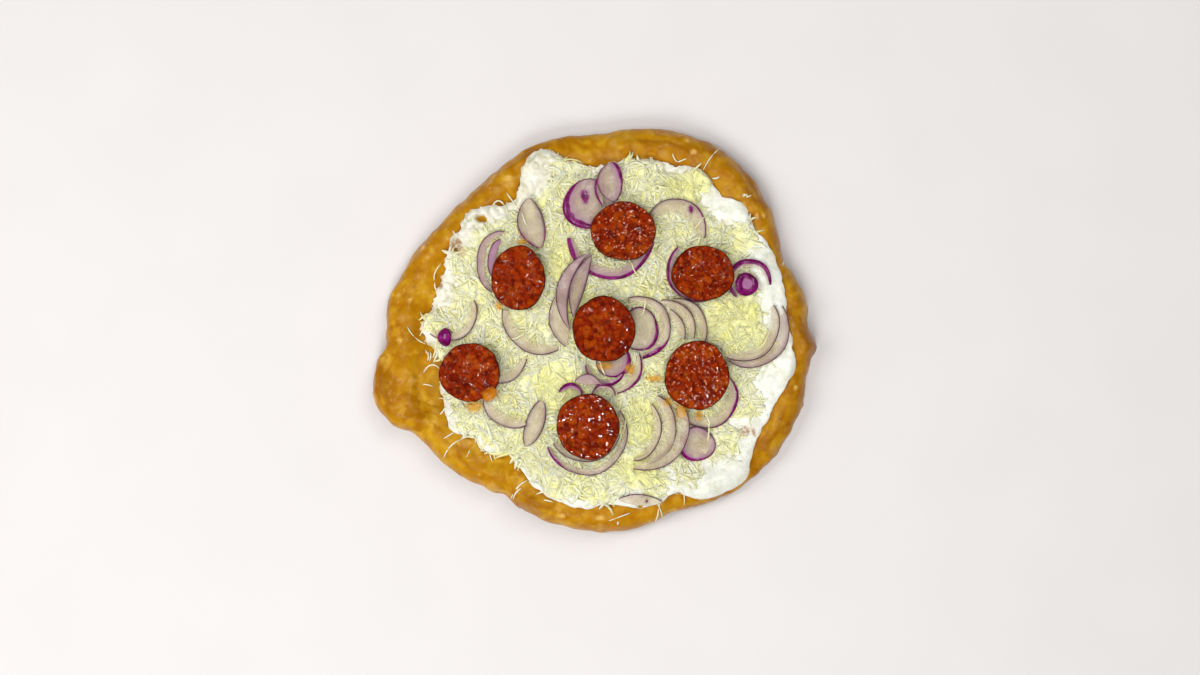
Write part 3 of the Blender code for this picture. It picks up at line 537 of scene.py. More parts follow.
def spoke_stations(name, spokes, sort):
    """A node's corners as (station, spoke) arrays of radius and height, sorted along each spoke."""
    corners, _ = node_mesh(name)
    corners = np.unique(np.round(corners, 3), axis=0)
    radius = np.hypot(corners[:, 0], corners[:, 1])
    angle = np.degrees(np.arctan2(corners[:, 1], corners[:, 0]))
    spoke = np.round(angle * spokes / 360).astype(int) % spokes
    columns = []
    for k in range(spokes):
        mine = (spoke == k) & (radius > 1)
        columns.append(sort(radius[mine], corners[mine, 2]))
    return np.array(columns).transpose(1, 2, 0)


# Making meshes


def quads_of(numbers):
    """Quads between neighbouring rows and columns of point numbers."""
    corners = [numbers[:-1, :-1], numbers[1:, :-1], numbers[1:, 1:], numbers[:-1, 1:]]
    return np.stack(corners, axis=-1).reshape(-1, 4)


def ring_closed(numbers):
    """Rows of point numbers, each with its first number again at its end."""
    return np.hstack([numbers, numbers[:, :1]])


def grid_faces(rows, columns, first=0):
    """Quads over closed rows of points that are counted row by row."""
    return quads_of(ring_closed(first + np.arange(rows * columns).reshape(rows, columns)))


def fan_faces(middle, ring, inward=False):
    """Triangles from a middle point to a closed ring of point numbers."""
    after = np.roll(ring, -1)
    sides = (after, ring) if inward else (ring, after)
    return np.stack([np.full(len(ring), middle), *sides], axis=-1)


def capped_grid(rings, top_middle, under_middle):
    """Points and faces of rings that run out over the top, round the edge and in again on the underside."""
    count, columns = rings.shape[:2]
    points = np.vstack([rings.reshape(-1, 3), top_middle, under_middle])
    middle = count * columns
    ring = np.arange(columns)
    faces = [
        grid_faces(count, columns),
        fan_faces(middle, ring),
        fan_faces(middle + 1, ring + middle - columns, inward=True),
    ]
    return points, faces


def layer_rings(top_radius, under_radius, top_map, under_map, sunk):
    """Rings of a layer whose top follows one map and whose underside lies sunk in another."""
    x, y = plan(np.vstack([top_radius, under_radius]))
    top = len(top_radius)
    heights = [read_map(top_map, x[:top], y[:top]), read_map(under_map, x[top:], y[top:]) - sunk]
    return np.stack([x, y, np.vstack(heights)], axis=-1)


def layer_mesh(rings, top_map, under_map, sunk):
    """Points and faces of a layer from its rings."""
    return capped_grid(rings, (0, 0, read_map(top_map, 0, 0)), (0, 0, read_map(under_map, 0, 0) - sunk))


def enclosed_volume(points, face_sets):
    """Six times the volume within the faces: negative where they face inwards."""
    total = 0.0
    for faces in face_sets:
        first = points[faces[:, 0]]
        for k in range(1, faces.shape[1] - 1):
            second, third = points[faces[:, k]], points[faces[:, k + 1]]
            total += np.einsum("ij,ij->", first, np.cross(second, third))
    return total


def add_piece(name, points, face_sets, material, nodes=(), attributes=None):
    """One closed mesh on the body, in metres, with its finish, and the nodes that it stands for."""
    points = np.asarray(points, float).reshape(-1, 3)
    face_sets = [np.asarray(faces) for faces in face_sets if len(faces)]
    if enclosed_volume(points, face_sets) < 0:
        face_sets = [faces[:, ::-1] for faces in face_sets]
    loops = np.concatenate([faces.ravel() for faces in face_sets]).astype(np.int32)
    sizes = np.concatenate([np.full(len(faces), faces.shape[1]) for faces in face_sets]).astype(np.int32)
    mesh = bpy.data.meshes.new(name)
    mesh.vertices.add(len(points))
    mesh.vertices.foreach_set("co", (points * MM).ravel())
    mesh.loops.add(len(loops))
    mesh.loops.foreach_set("vertex_index", loops)
    mesh.polygons.add(len(sizes))
    mesh.polygons.foreach_set("loop_start", np.cumsum(sizes) - sizes)
    mesh.polygons.foreach_set("use_smooth", np.ones(len(sizes), bool))
    mesh.update(calc_edges=True)
    mesh.validate()
    for key, values in (attributes or {}).items():
        attribute = mesh.attributes.new(key, "FLOAT", "POINT")
        attribute.data.foreach_set("value", np.ravel(values).astype(np.float32))
    mesh.materials.append(material)
    piece = bpy.data.objects.new(name, mesh)
    bpy.context.scene.collection.objects.link(piece)
    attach(piece, "root")
    if nodes:
        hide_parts(*nodes)
    return piece


def grid_normals(points):
    """Normals of a closed grid whose rows run outwards on top."""
    along = np.gradient(points, axis=0)
    around = np.roll(points, -1, axis=1) - np.roll(points, 1, axis=1)
    normal = np.cross(along, around)
    length = np.linalg.norm(normal, axis=-1, keepdims=True)
    return normal / np.maximum(length, 1e-9)


def near_spots(x, y, spots):
    """How near a place is to the nearest of some ovals of the photo, from 0 to 1, with frayed edges."""
    near = np.zeros(np.shape(x))
    frayed = 1 + 0.3 * noise(x, y, 3.0, SEED + 1)
    for u, v, half_x, half_y, *_ in spots:
        cx, cy = from_photo(u, v)
        distance = np.hypot((x - cx) / half_x, (y - cy) / half_y) * frayed
        near = np.maximum(near, 1 - smooth_step(0.7, 1.2, distance))
    return near


# Materials


class Finish:
    """A material with a Principled shader and short ways to feed it."""

    def __init__(self, name, **values):
        self.material = bpy.data.materials.new(name)
        self.material.use_nodes = True
        self.tree = self.material.node_tree
        self.shader = next(n for n in self.tree.nodes if n.type == "BSDF_PRINCIPLED")
        self.place = self.tree.nodes.new("ShaderNodeTexCoord").outputs["Object"]
        for socket, value in values.items():
            self.shader.inputs[socket.replace("_", " ")].default_value = value

    def node(self, kind, inputs=None, **settings):
        node = self.tree.nodes.new("ShaderNode" + kind)
        for key, value in settings.items():
            setattr(node, key, value)
        for key, value in (inputs or {}).items():
            if isinstance(value, bpy.types.NodeSocket):
                self.tree.links.new(value, node.inputs[key])
            else:
                node.inputs[key].default_value = value
        return node

    def noise(self, size, detail=3.0, roughness=0.55, distortion=0.0):
        """Noise whose lumps are about size millimetres across."""
        inputs = {"Vector": self.place, "Scale": 1 / (size * MM), "Detail": detail}
        inputs.update({"Roughness": roughness, "Distortion": distortion})
        return self.node("TexNoise", inputs).outputs["Fac"]

    def cells(self, size, feature="F1", output="Distance"):
        inputs = {"Vector": self.place, "Scale": 1 / (size * MM)}
        return self.node("TexVoronoi", inputs, feature=feature).outputs[output]

    def attribute(self, name):
        return self.node("Attribute", attribute_name=name).outputs["Fac"]

    def ramp(self, factor, *stops):
        """Colours or levels along a factor: (place, colour) or (place, level)."""
        node = self.node("ValToRGB", {"Fac": factor})
        marks = node.color_ramp.elements
        while len(marks) < len(stops):
            marks.new(0.5)
        for mark, (place, colour) in zip(marks, sorted(stops)):
            mark.position = place
            mark.color = colour if isinstance(colour, tuple) else (colour, colour, colour, 1.0)
        return node.outputs["Color"]

    def mix(self, factor, first, second, how="MIX"):
        node = self.node("Mix", data_type="RGBA", blend_type=how)
        for key, value in ((0, factor), (6, first), (7, second)):
            if isinstance(value, bpy.types.NodeSocket):
                self.tree.links.new(value, node.inputs[key])
            else:
                node.inputs[key].default_value = value
        return node.outputs[2]

    def math(self, how, first, second, clamp=False):
        return self.node("Math", {0: first, 1: second}, operation=how, use_clamp=clamp).outputs[0]

    def bump(self, height, depth, strength=1.0, below=None):
        """A bump whose full range is depth millimetres deep."""
        inputs = {"Height": height, "Distance": depth * MM, "Strength": strength}
        if below is not None:
            inputs["Normal"] = below
        return self.node("Bump", inputs).outputs["Normal"]

    def feed(self, socket, source):
        self.tree.links.new(source, self.shader.inputs[socket])


def bread_finish():
    finish = Finish("fried_dough", Coat_Weight=0.2, Coat_Roughness=0.2, Specular_IOR_Level=0.2)
    broad = finish.noise(26, 2.0)
    clouds = finish.noise(8, 2.0, 0.5, 0.6)
    fine = finish.noise(2.8, 3.0, 0.5)
    gold, light_gold = (0.50, rgb(184, 129, 5)), (0.68, rgb(204, 155, 30))
    colour = finish.ramp(clouds, (0.34, rgb(165, 106, 0)), gold, light_gold)
    colour = finish.mix(finish.ramp(broad, (0.42, 0.0), (0.62, 0.5)), colour, rgb(178, 116, 0))
    colour = finish.mix(finish.ramp(fine, (0.36, 0.16), (0.5, 0.0)), colour, rgb(150, 88, 0))
    bright = finish.ramp(finish.noise(5.5, 2.0, 0.5), (0.58, 0.0), (0.72, 0.4))
    colour = finish.mix(bright, colour, rgb(222, 176, 54))
    # Browning of the dough, with painted shade in its creases, towards its right and top, and where it turns
    # down.
    colour = finish.mix(finish.attribute("brown_and_shade"), colour, rgb(138, 78, 0))
    # Painted highlight on the tops of the lumps and on small raised specks.
    colour = finish.mix(finish.attribute("painted_highlight"), colour, rgb(236, 190, 100))
    finish.feed("Base Color", colour)
    finish.feed("Roughness", finish.ramp(finish.noise(6, 3.0), (0.35, 0.3), (0.7, 0.5)))
    grain = finish.bump(finish.noise(1.3, 2.0), 0.07)
    surface = finish.bump(finish.noise(4.2, 2.0, 0.5), 0.5, below=grain)
    finish.feed("Normal", surface)
    finish.feed("Coat Normal", surface)
    return finish.material


def cream_finish():
    finish = Finish("sour_cream", Coat_Weight=0.5, Coat_Roughness=0.12, Subsurface_Weight=0.15)
    finish.shader.inputs["Subsurface Radius"].default_value = (0.003, 0.0028, 0.0022)
    finish.shader.inputs["Subsurface Scale"].default_value = 1.0
    mottle = finish.noise(6, 4.0, 0.6, 0.5)
    colour = finish.ramp(mottle, (0.34, rgb(228, 230, 214)), (0.58, rgb(247, 249, 240)))
    watery = finish.ramp(finish.noise(3.4, 4.0, 0.65, 0.8), (0.56, 0.0), (0.68, 0.35))
    colour = finish.mix(watery, colour, rgb(214, 216, 190))
    # Painted shade in the creases where the curds meet.
    shaded_creases = finish.ramp(finish.noise(1.6, 3.0, 0.6), (0.34, 0.3), (0.6, 1.0))
    shaded_creases = finish.math("MULTIPLY", shaded_creases, finish.attribute("crease_shade"))
    colour = finish.mix(shaded_creases, colour, rgb(178, 180, 146))
    # Thin cream lets the dough show through; towards the upper left some of this tint is painted shade.
    colour = finish.mix(finish.attribute("thin"), colour, rgb(220, 190, 124))
    broken = finish.ramp(finish.noise(2.2, 3.0, 0.6), (0.40, 0.25), (0.56, 1.0))
    browned = finish.math("MULTIPLY", finish.attribute("browned"), broken)
    colour = finish.mix(browned, colour, rgb(152, 104, 44))
    finish.feed("Base Color", colour)
    finish.feed("Roughness", finish.ramp(finish.noise(4, 2.0), (0.35, 0.2), (0.65, 0.4)))
    fine = finish.bump(finish.noise(1.2, 3.0), 0.1)
    surface = finish.bump(finish.noise(3.6, 3.0), 0.6, below=fine)
    finish.feed("Normal", surface)
    finish.feed("Coat Normal", surface)
    return finish.material


def cheese_colour(finish, low, high):
    """Pale cheese colour between two tones, with the oily, creamy and more golden places; the golden ones are
    partly melted and partly a painted highlight.
    """
    colour = finish.mix(finish.attribute("tone"), low, high)
    # More golden where melted; partly a painted highlight.
    colour = finish.mix(finish.attribute("yellow_and_highlight"), colour, rgb(255, 250, 150))
    colour = finish.mix(finish.attribute("creamy"), colour, rgb(252, 252, 238))
    colour = finish.mix(finish.attribute("browned"), colour, rgb(204, 148, 84))
    return finish.mix(finish.attribute("oily"), colour, rgb(236, 160, 30))


def shred_finish():
    finish = Finish("grated_cheese", Specular_IOR_Level=0.3, Subsurface_Weight=0.5)
    finish.shader.inputs["Subsurface Radius"].default_value = (0.0025, 0.0022, 0.0012)
    finish.shader.inputs["Subsurface Scale"].default_value = 1.0
    colour = cheese_colour(finish, rgb(248, 241, 158), rgb(255, 255, 218))
    mottle = finish.ramp(finish.noise(2.0, 2.0), (0.35, 0.15), (0.6, 0.0))
    finish.feed("Base Color", finish.mix(mottle, colour, rgb(244, 236, 152)))
    finish.feed("Roughness", finish.ramp(finish.noise(1.5, 2.0), (0.3, 0.36), (0.7, 0.55)))
    finish.feed("Normal", finish.bump(finish.noise(0.7, 2.0), 0.12))
    return finish.material


def bed_finish():
    finish = Finish("cheese_bed", Specular_IOR_Level=0.3, Subsurface_Weight=0.5)
    finish.shader.inputs["Subsurface Radius"].default_value = (0.0025, 0.0022, 0.0012)
    finish.shader.inputs["Subsurface Scale"].default_value = 1.0
    colour = cheese_colour(finish, rgb(250, 242, 168), rgb(255, 252, 204))
    # Painted shade in the gaps between the shreds, where the bed shows; less of it in the melted places.
    gap_shade = finish.ramp(finish.noise(1.7, 3.0, 0.6), (0.30, 0.75), (0.40, 0.0))
    open_share = finish.math("SUBTRACT", 1.0, finish.attribute("yellow_and_highlight"), clamp=True)
    gap_shade = finish.math("MULTIPLY", gap_shade, open_share)
    finish.feed("Base Color", finish.mix(gap_shade, colour, rgb(190, 180, 104)))
    finish.feed("Roughness", finish.ramp(finish.noise(1.5, 2.0), (0.3, 0.42), (0.7, 0.6)))
    finish.feed("Normal", finish.bump(finish.noise(1.2, 3.0), 0.45))
    return finish.material


def onion_finish():
    finish = Finish("red_onion", Coat_Weight=0.3, Coat_Roughness=0.12)
    mottle = finish.noise(6, 3.0)
    flesh = finish.ramp(mottle, (0.32, rgb(214, 194, 164)), (0.66, rgb(240, 228, 200)))
    flesh = finish.mix(finish.attribute("tint"), flesh, rgb(172, 112, 158))
    skin = finish.ramp(finish.noise(2.6, 3.0), (0.35, rgb(88, 2, 62)), (0.65, rgb(140, 18, 112)))
    grey_skin = finish.mix(finish.attribute("deep"), rgb(92, 52, 72), skin)
    colour = finish.mix(finish.attribute("skin"), flesh, grey_skin)
    colour = finish.mix(finish.attribute("oily"), colour, rgb(236, 168, 46))
    finish.feed("Base Color", colour)
    lines = finish.ramp(finish.attribute("layer"), (0.0, 0.36), (1.0, 0.45))
    cover = finish.math("MULTIPLY", lines, finish.attribute("cover"))
    solid = finish.math("MAXIMUM", finish.attribute("skin"), finish.attribute("oily"))
    solid = finish.math("MAXIMUM", solid, finish.ramp(finish.attribute("tint"), (0.4, 0.0), (0.95, 0.85)))
    finish.feed("Alpha", finish.mix(solid, cover, (0.95, 0.95, 0.95, 1.0)))
    finish.feed("Roughness", finish.ramp(mottle, (0.3, 0.18), (0.7, 0.34)))
    surface = finish.bump(finish.noise(2.4, 3.0), 0.18)
    finish.feed("Normal", surface)
    finish.feed("Coat Normal", surface)
    return finish.material


def sausage_finish():
    finish = Finish("sausage", Coat_Roughness=0.05, Specular_IOR_Level=0.06)
    bits = finish.noise(4.0, 4.0, 0.62, 0.6)
    dark, red, orange = (0.32, rgb(104, 14, 0)), (0.46, rgb(132, 32, 0)), (0.58, rgb(149, 47, 0))
    colour = finish.ramp(bits, dark, red, orange, (0.72, rgb(174, 74, 4)))
    tone = finish.node("SeparateColor", {"Color": finish.cells(3.6, output="Color")}).outputs["Red"]
    colour = finish.mix(finish.ramp(tone, (0.08, 0.6), (0.22, 0.0)), colour, rgb(84, 4, 0))
    colour = finish.mix(finish.ramp(tone, (0.80, 0.0), (0.94, 0.5)), colour, rgb(176, 78, 4))
    grains = finish.cells(2.3)
    # Painted shade in the crevices between the grains.
    colour = finish.mix(finish.ramp(grains, (0.48, 0.0), (0.78, 0.6)), colour, rgb(70, 4, 0))
    # Pale specks: bits of fat, and painted glints where the slice shines most.
    fat_and_glint_spots = finish.ramp(finish.noise(1.7, 2.0), (0.61, 0.0), (0.68, 0.8))
    speckled = finish.math("MULTIPLY", fat_and_glint_spots, finish.attribute("speckle"))
    colour = finish.mix(speckled, colour, rgb(226, 156, 118))
    colour = finish.mix(finish.attribute("rind"), colour, rgb(58, 6, 0))
    finish.feed("Base Color", colour)
    wet = finish.attribute("wet")
    dry = finish.ramp(finish.noise(2.2, 3.0), (0.36, 0.28), (0.62, 0.5))
    finish.feed("Roughness", finish.mix(wet, dry, (0.2, 0.2, 0.2, 1.0)))
    finish.feed("Coat Weight", wet)
    fine = finish.bump(finish.math("MULTIPLY", grains, -1.0), 0.4)
    finish.feed("Normal", finish.bump(finish.noise(2.2, 3.0, 0.6), 0.5, below=fine))
    finish.feed("Coat Normal", finish.bump(finish.noise(3.0, 0.0), 0.25))
    return finish.material


def oil_finish():
    finish = Finish("oil", Coat_Weight=0.4, Coat_Roughness=0.06, Roughness=0.16, Specular_IOR_Level=0.2)
    mottle = finish.noise(3.5, 1.0)
    thin = finish.ramp(mottle, (0.3, rgb(230, 164, 40)), (0.7, rgb(242, 190, 76)))
    thick = finish.ramp(mottle, (0.3, rgb(178, 92, 0)), (0.7, rgb(208, 128, 8)))
    finish.feed("Base Color", finish.mix(finish.attribute("thick"), thin, thick))
    finish.feed("Alpha", finish.attribute("cover"))
    return finish.material


def floor_finish():
    finish = Finish("pale_floor", Roughness=0.75, Specular_IOR_Level=0.1)
    colour = finish.ramp(finish.noise(60, 1.0), (0.3, rgb(226, 223, 223)), (0.7, rgb(228, 225, 225)))
    finish.feed("Base Color", colour)
    return finish.material


# Bread


def bread_table():
    """Radius and height of the bread over rows and columns, from its middle over the rim to the underside."""

    def along_spoke(radius, height):
        edge = radius.argmax()
        under = (height < BREAD_UNDER_LEVEL) & (np.arange(len(radius)) != edge)
        top = ~under
        top[edge] = False
        upper = np.flatnonzero(top)[np.argsort(radius[top])]
        lower = np.flatnonzero(under)[np.argsort(-radius[under])]
        order = np.concatenate([upper, [edge], lower])
        return radius[order], height[order]

    radius, height = spoke_stations("bread", BREAD_SPOKES, along_spoke)
    middle = np.full(BREAD_SPOKES, height[0].mean())
    nothing = np.zeros(BREAD_SPOKES)
    radius = np.vstack([nothing, radius, nothing])
    height = np.vstack([middle, height, nothing])
    return [finer_around(finer_down(values, BREAD_STEPS), BREAD_TIMES) for values in (radius, height)]


def bread_map(radius, height):
    """Height of the bread's top over the map, without its small relief."""
    columns = radius.shape[1]
    edge_row = BREAD_EDGE_ROW
    column = GRID_ANGLE * columns / 360
    edge = np.interp(column, np.arange(columns + 1), np.append(radius[edge_row], radius[edge_row, 0]))

    def inward(edge, radius):
        distance = edge - radius
        core = 1 + (1 - radius / np.maximum(edge - BREAD_RIM, 1))
        return np.where(distance < BREAD_RIM, distance / BREAD_RIM, core)

    rows_in = inward(radius[edge_row, 0], radius[: edge_row + 1, 0])
    row = np.interp(inward(edge, GRID_RADIUS), rows_in[::-1], np.arange(edge_row + 1)[::-1])
    i, j = np.minimum(row.astype(int), edge_row - 1), column.astype(int) % columns
    after = (j + 1) % columns
    across, down = column - column.astype(int), row - i
    upper = height[i, j] * (1 - across) + height[i, after] * across
    lower = height[i + 1, j] * (1 - across) + height[i + 1, after] * across
    found = upper * (1 - down) + lower * down
    found[GRID_RADIUS > edge] = 0.0
    return found


def add_blisters(relief, brown_and_shade, edge):
    """Adds round blisters and dents near the rim, drawn at random, to the map of heights, and the browning of
    the blisters to the map of browning and painted shade.
    """
    rng = np.random.default_rng(SEED + 2)
    spokes = np.arange(len(edge)) * 360 / len(edge)
    for _ in range(BREAD_BLISTERS):
        angle, inset = rng.uniform(0, 360), rng.uniform(1, 26)
        reach, height = rng.uniform(1.5, 5.5), rng.uniform(0.2, 0.85)
        if rng.random() < BREAD_DENTED:
            height = -0.8 * height
        distance = np.interp(angle, spokes, edge) - inset
        cx, cy = distance * math.cos(math.radians(angle)), distance * math.sin(math.radians(angle))
        left, low = int((cx - reach + MAP_HALF_X) / CELL), int((cy - reach + MAP_HALF_Y) / CELL)
        size = int(2 * reach / CELL) + 2
        part = slice(max(low, 0), low + size), slice(max(left, 0), left + size)
        away = np.hypot(GRID_X[part] - cx, GRID_Y[part] - cy) / reach
        swell = np.clip(1 - away**2, 0, 1) ** 2
        relief[part] += height * swell
        brown_and_shade[part] = np.maximum(brown_and_shade[part], swell * (0.35 if height > 0.45 else 0.0))


def away_from(start, end):
    """Distance of each cell of the map from a straight line."""
    way = np.subtract(end, start)
    along = ((GRID_X - start[0]) * way[0] + (GRID_Y - start[1]) * way[1]) / (way @ way)
    along = np.clip(along, 0, 1)
    return np.hypot(GRID_X - start[0] - along * way[0], GRID_Y - start[1] - along * way[1])


def bread_relief(edge):
    """Lumps, blisters, dents and creases of the fried dough, as a map of heights and one of browning and
    painted shade, the shade lying in the creases.
    """
    relief = layered(GRID_X, GRID_Y, BREAD_LUMPS)
    brown_and_shade = np.zeros(relief.shape)
    add_blisters(relief, brown_and_shade, edge)
    wavering = 0.5 * noise(GRID_X, GRID_Y, 4, 34)
    for route in BREAD_CREASES:
        places = [from_photo(*pixel) for pixel in route]
        for start, end in zip(places, places[1:]):
            groove = np.clip(1 - ((away_from(start, end) + wavering) / BREAD_CREASE_WIDTH) ** 2, 0, 1)
            relief -= 0.45 * groove
            # Painted shade in the creases, carried in the browning map.
            brown_and_shade = np.maximum(brown_and_shade, 0.55 * groove)
    return relief + 0.5 * near_spots(GRID_X, GRID_Y, BREAD_HIGHLIGHT_SPECKS), brown_and_shade


def bread_tones(points, relief, brown_and_shade):
    """How browned the dough is at each point, with its painted shade, and where it gets a painted highlight
    on the tops of its lumps and on its raised specks.
    """
    x, y, z = points.T
    # Darker where the side turns down: partly the browner fried edge, partly painted shade.
    low_side = 1 - smooth_step(3.0, 11.0, z)
    browned = 0.35 * low_side + read_map(brown_and_shade, x, y) + 0.3 * smooth_step(-0.1, 0.8, noise(x, y, 20, 35))
    # Painted shade: the dough is made darker towards the right and towards the top.
    browned = 0.8 * browned + 0.32 * smooth_step(20, 100, x) + 0.2 * smooth_step(50, 100, y) - 0.12
    for cx, cy, reach_x, reach_y, share in BREAD_BROWNER:
        browned += share * np.exp(-(((x - cx) / reach_x) ** 2) - ((y - cy) / reach_y) ** 2)
    browned = np.clip(browned + 0.45 * near_spots(x, y, BREAD_LIP), 0, 1)
    # Painted highlight on the tops of the lumps.
    painted_highlight = 0.4 * smooth_step(0.35, 0.9, read_map(relief, x, y)) * (1 - browned)
    return {"brown_and_shade": browned, "painted_highlight": np.maximum(painted_highlight, 0.75 * near_spots(x, y, BREAD_HIGHLIGHT_SPECKS))}


def build_bread(material):
    """The bread's mesh. Returns the height of its top."""
    radius, height = bread_table()
    relief, brown_and_shade = bread_relief(radius[BREAD_EDGE_ROW])
    x, y = plan(radius)
    points = np.stack([x, y, height], axis=-1)
    lift = read_map(relief, x + 0.5 * (height - 9), y - 0.4 * (height - 9))
    underneath = np.arange(len(radius))[:, None] > BREAD_EDGE_ROW + 6
    lift = np.where(underneath, np.abs(lift) * 0.35, lift)
    points = points + grid_normals(points) * lift[..., None]
    points[..., 2] = np.maximum(points[..., 2], 0)
    points, faces = capped_grid(points[1:-1], points[0].mean(axis=0), (0, 0, 0))
    values = bread_tones(points, relief, brown_and_shade)
    add_piece("fried_bread", points, faces, material, ["bread"], values)
    plain = bread_map(radius, height)
    return np.where(plain > 0, plain + relief, 0.0)


# Sour cream


def cream_creases(x, y):
    """Height of the curds of the cream, which meet in creases."""
    return np.abs(noise(x, y, 4.6, 44))


def cream_outline(bread):
    """Radius of the cream's edge around, with small lobes and points, short of the bread's edge."""
    radius, _ = spoke_stations("sour_cream", CREAM_SPOKES, lambda r, z: (np.sort(r), z[np.argsort(r)]))
    smooth = finer_around(radius[-1], CREAM_TIMES)
    x, y = plan(smooth)
    outline = smooth.copy()
    for u, v, reach, push in CREAM_LOBES:
        cx, cy = from_photo(u, v)
        outline += push * np.exp(-((np.hypot(x - cx, y - cy) / reach) ** 2))
    points = 2.0 * (1 - np.abs(noise(x, y, 5.0, 48)).clip(0, 1)) ** 4 - 0.7
    outline += points * smooth_step(10, 80, y - x) + layered(x, y, ((1.2, 6.5, 41), (0.4, 2.6, 42)))
    return np.minimum(outline, reach_of(bread, 9.5, np.arange(60, 125, 0.4), len(smooth)))


def curdled_and_shaded(x, y):
    """How rough the curds are, and how much painted shade the cream's colour takes, from 0 at the lower right
    to 1 at the upper left.
    """
    return smooth_step(-40, 80, y - x)


def cream_map(outline, bread):
    """Height of the cream's top: the node's inside, and rounded down to the bread at its edge."""
    spokes = np.arange(len(outline) + 1) * 360 / len(outline)
    edge = np.interp(GRID_ANGLE, spokes, np.append(outline, outline[0]))
    inside = edge - GRID_RADIUS
    even = sum(np.roll(outline, k) for k in range(-8, 9)) / 17
    deep = np.interp(GRID_ANGLE, spokes, np.append(even, even[0])) - GRID_RADIUS + 0.6
    node = blurred(spread_out(node_map("sour_cream"), 12), 4)
    share = np.clip(deep / CREAM_ROUNDING, 0, 1)
    thickness = CREAM_THICKNESS * (1 - (1 - share) ** 2) ** 0.72
    rim = blurred(bread, 3) + thickness
    blend = smooth_step(4.0, 10.0, deep)
    rough = curdled_and_shaded(GRID_X, GRID_Y)
    lumps = 0.9 * noise(GRID_X, GRID_Y, 8, 43) + (0.4 + rough) * cream_creases(GRID_X, GRID_Y) - 0.25
    lumps += (0.1 + 0.3 * rough) * noise(GRID_X, GRID_Y, 2.6, 45)
    found = np.where(np.isnan(node), rim, rim * (1 - blend) + node * blend) + lumps * smooth_step(0, 3, deep)
    opened = near_spots(GRID_X, GRID_Y, CREAM_HOLES)
    return found * (1 - opened) + (bread - 1.0) * opened, inside


def cream_values(points, bread):
    """What the cream's finish reads at each point."""
    x, y, z = points.T
    depth = z - read_map(bread, x, y)
    thin = 0.75 * (1 - smooth_step(0.1, 1.1, depth)) + 0.15 * smooth_step(0.2, 0.8, noise(x, y, 7, 47))
    # Painted shade where the curds meet in creases, in patches.
    shaded_creases = 1 - smooth_step(0.03, 0.28, cream_creases(x, y))
    crease_shade = shaded_creases * smooth_step(-0.35, 0.35, noise(x, y, 11, 46))
    return {
        # Towards the upper left the cream gets painted shade: more of the thin cream's tint and more shade in
        # its creases.
        "thin": np.clip(thin + 0.15 * curdled_and_shaded(x, y), 0, 1),
        "crease_shade": crease_shade * (0.2 + 0.8 * curdled_and_shaded(x, y)),
        "browned": 0.85 * near_spots(x, y, CREAM_BROWNED),
    }


def build_cream(material, bread):
    """The cream's mesh. Returns the height of the top with it, and how far inside its edge each place is."""
    outline = cream_outline(bread)
    cream, inside = cream_map(outline, bread)
    insets = np.concatenate([[0.0, 0.15, 0.5], np.arange(1.1, 27, 0.7)])[::-1]
    core = np.linspace(0, 1, 9)[1:, None] * (outline - insets[0] - 2.5)
    top_radius = np.vstack([core, outline - insets[:, None]])
    under_radius = outline * np.array(CREAM_UNDER_RINGS)[:, None]
    rings = layer_rings(top_radius, under_radius, cream, bread, CREAM_SUNK)
    edge = rings[len(top_radius) - 1]
    edge[:, 2] = read_map(bread, edge[:, 0], edge[:, 1]) - 0.25
    points, faces = layer_mesh(rings, cream, bread, CREAM_SUNK)
    add_piece("cream", points, faces, material, ["sour_cream"], cream_values(points, bread))
    return np.where(inside > 0, np.maximum(cream, bread), bread), inside


# Grated cheese


def cheese_places(x, y, creamy):
    """What the cheese's finish reads at a place."""
    # Melted places, their colour partly a painted highlight, and a more golden tone at random.
    yellow_and_highlight = 0.6 * near_spots(x, y, CHEESE_MELTED_AND_HIGHLIT) + 0.25 * smooth_step(0.1, 0.8, noise(x, y, 16, 51))
    return {
        "yellow_and_highlight": yellow_and_highlight,
        "oily": 0.6 * near_spots(x, y, OIL_STAINS),
        "browned": 0.4 * near_spots(x, y, CREAM_BROWNED),
        "creamy": creamy,
    }


def bare_core():
    """Top of the heap without the shreds that are fused to it, and how closely shreds cover each place."""
    heap = node_map("grated_cheese")
    filled = np.where(np.isnan(heap), -50.0, heap)
    reach = 4
    opened = over_window(over_window(filled, reach, np.minimum), reach, np.maximum)
    inside = opened > 0
    level = spread_out(np.where(inside, opened, np.nan), 30)
    level = blurred(np.where(np.isnan(level), np.nanmean(level), level), 3)
    density = blurred(inside.astype(float), 7)
    further = [(u, v, reach, reach) for u, v, reach in CHEESE_SPREAD]
    return level, np.maximum(density, 0.85 * near_spots(GRID_X, GRID_Y, further))


def smooth_places(x, y):
    """Where the cheese has sunk into a smooth mass, from 0 to 1."""
    lumps = layered(x, y, ((1.0, 13, 57), (0.5, 6, 58)))
    return smooth_step(-0.15, 0.75, lumps + 0.7 * near_spots(x, y, CHEESE_MELTED_AND_HIGHLIT))


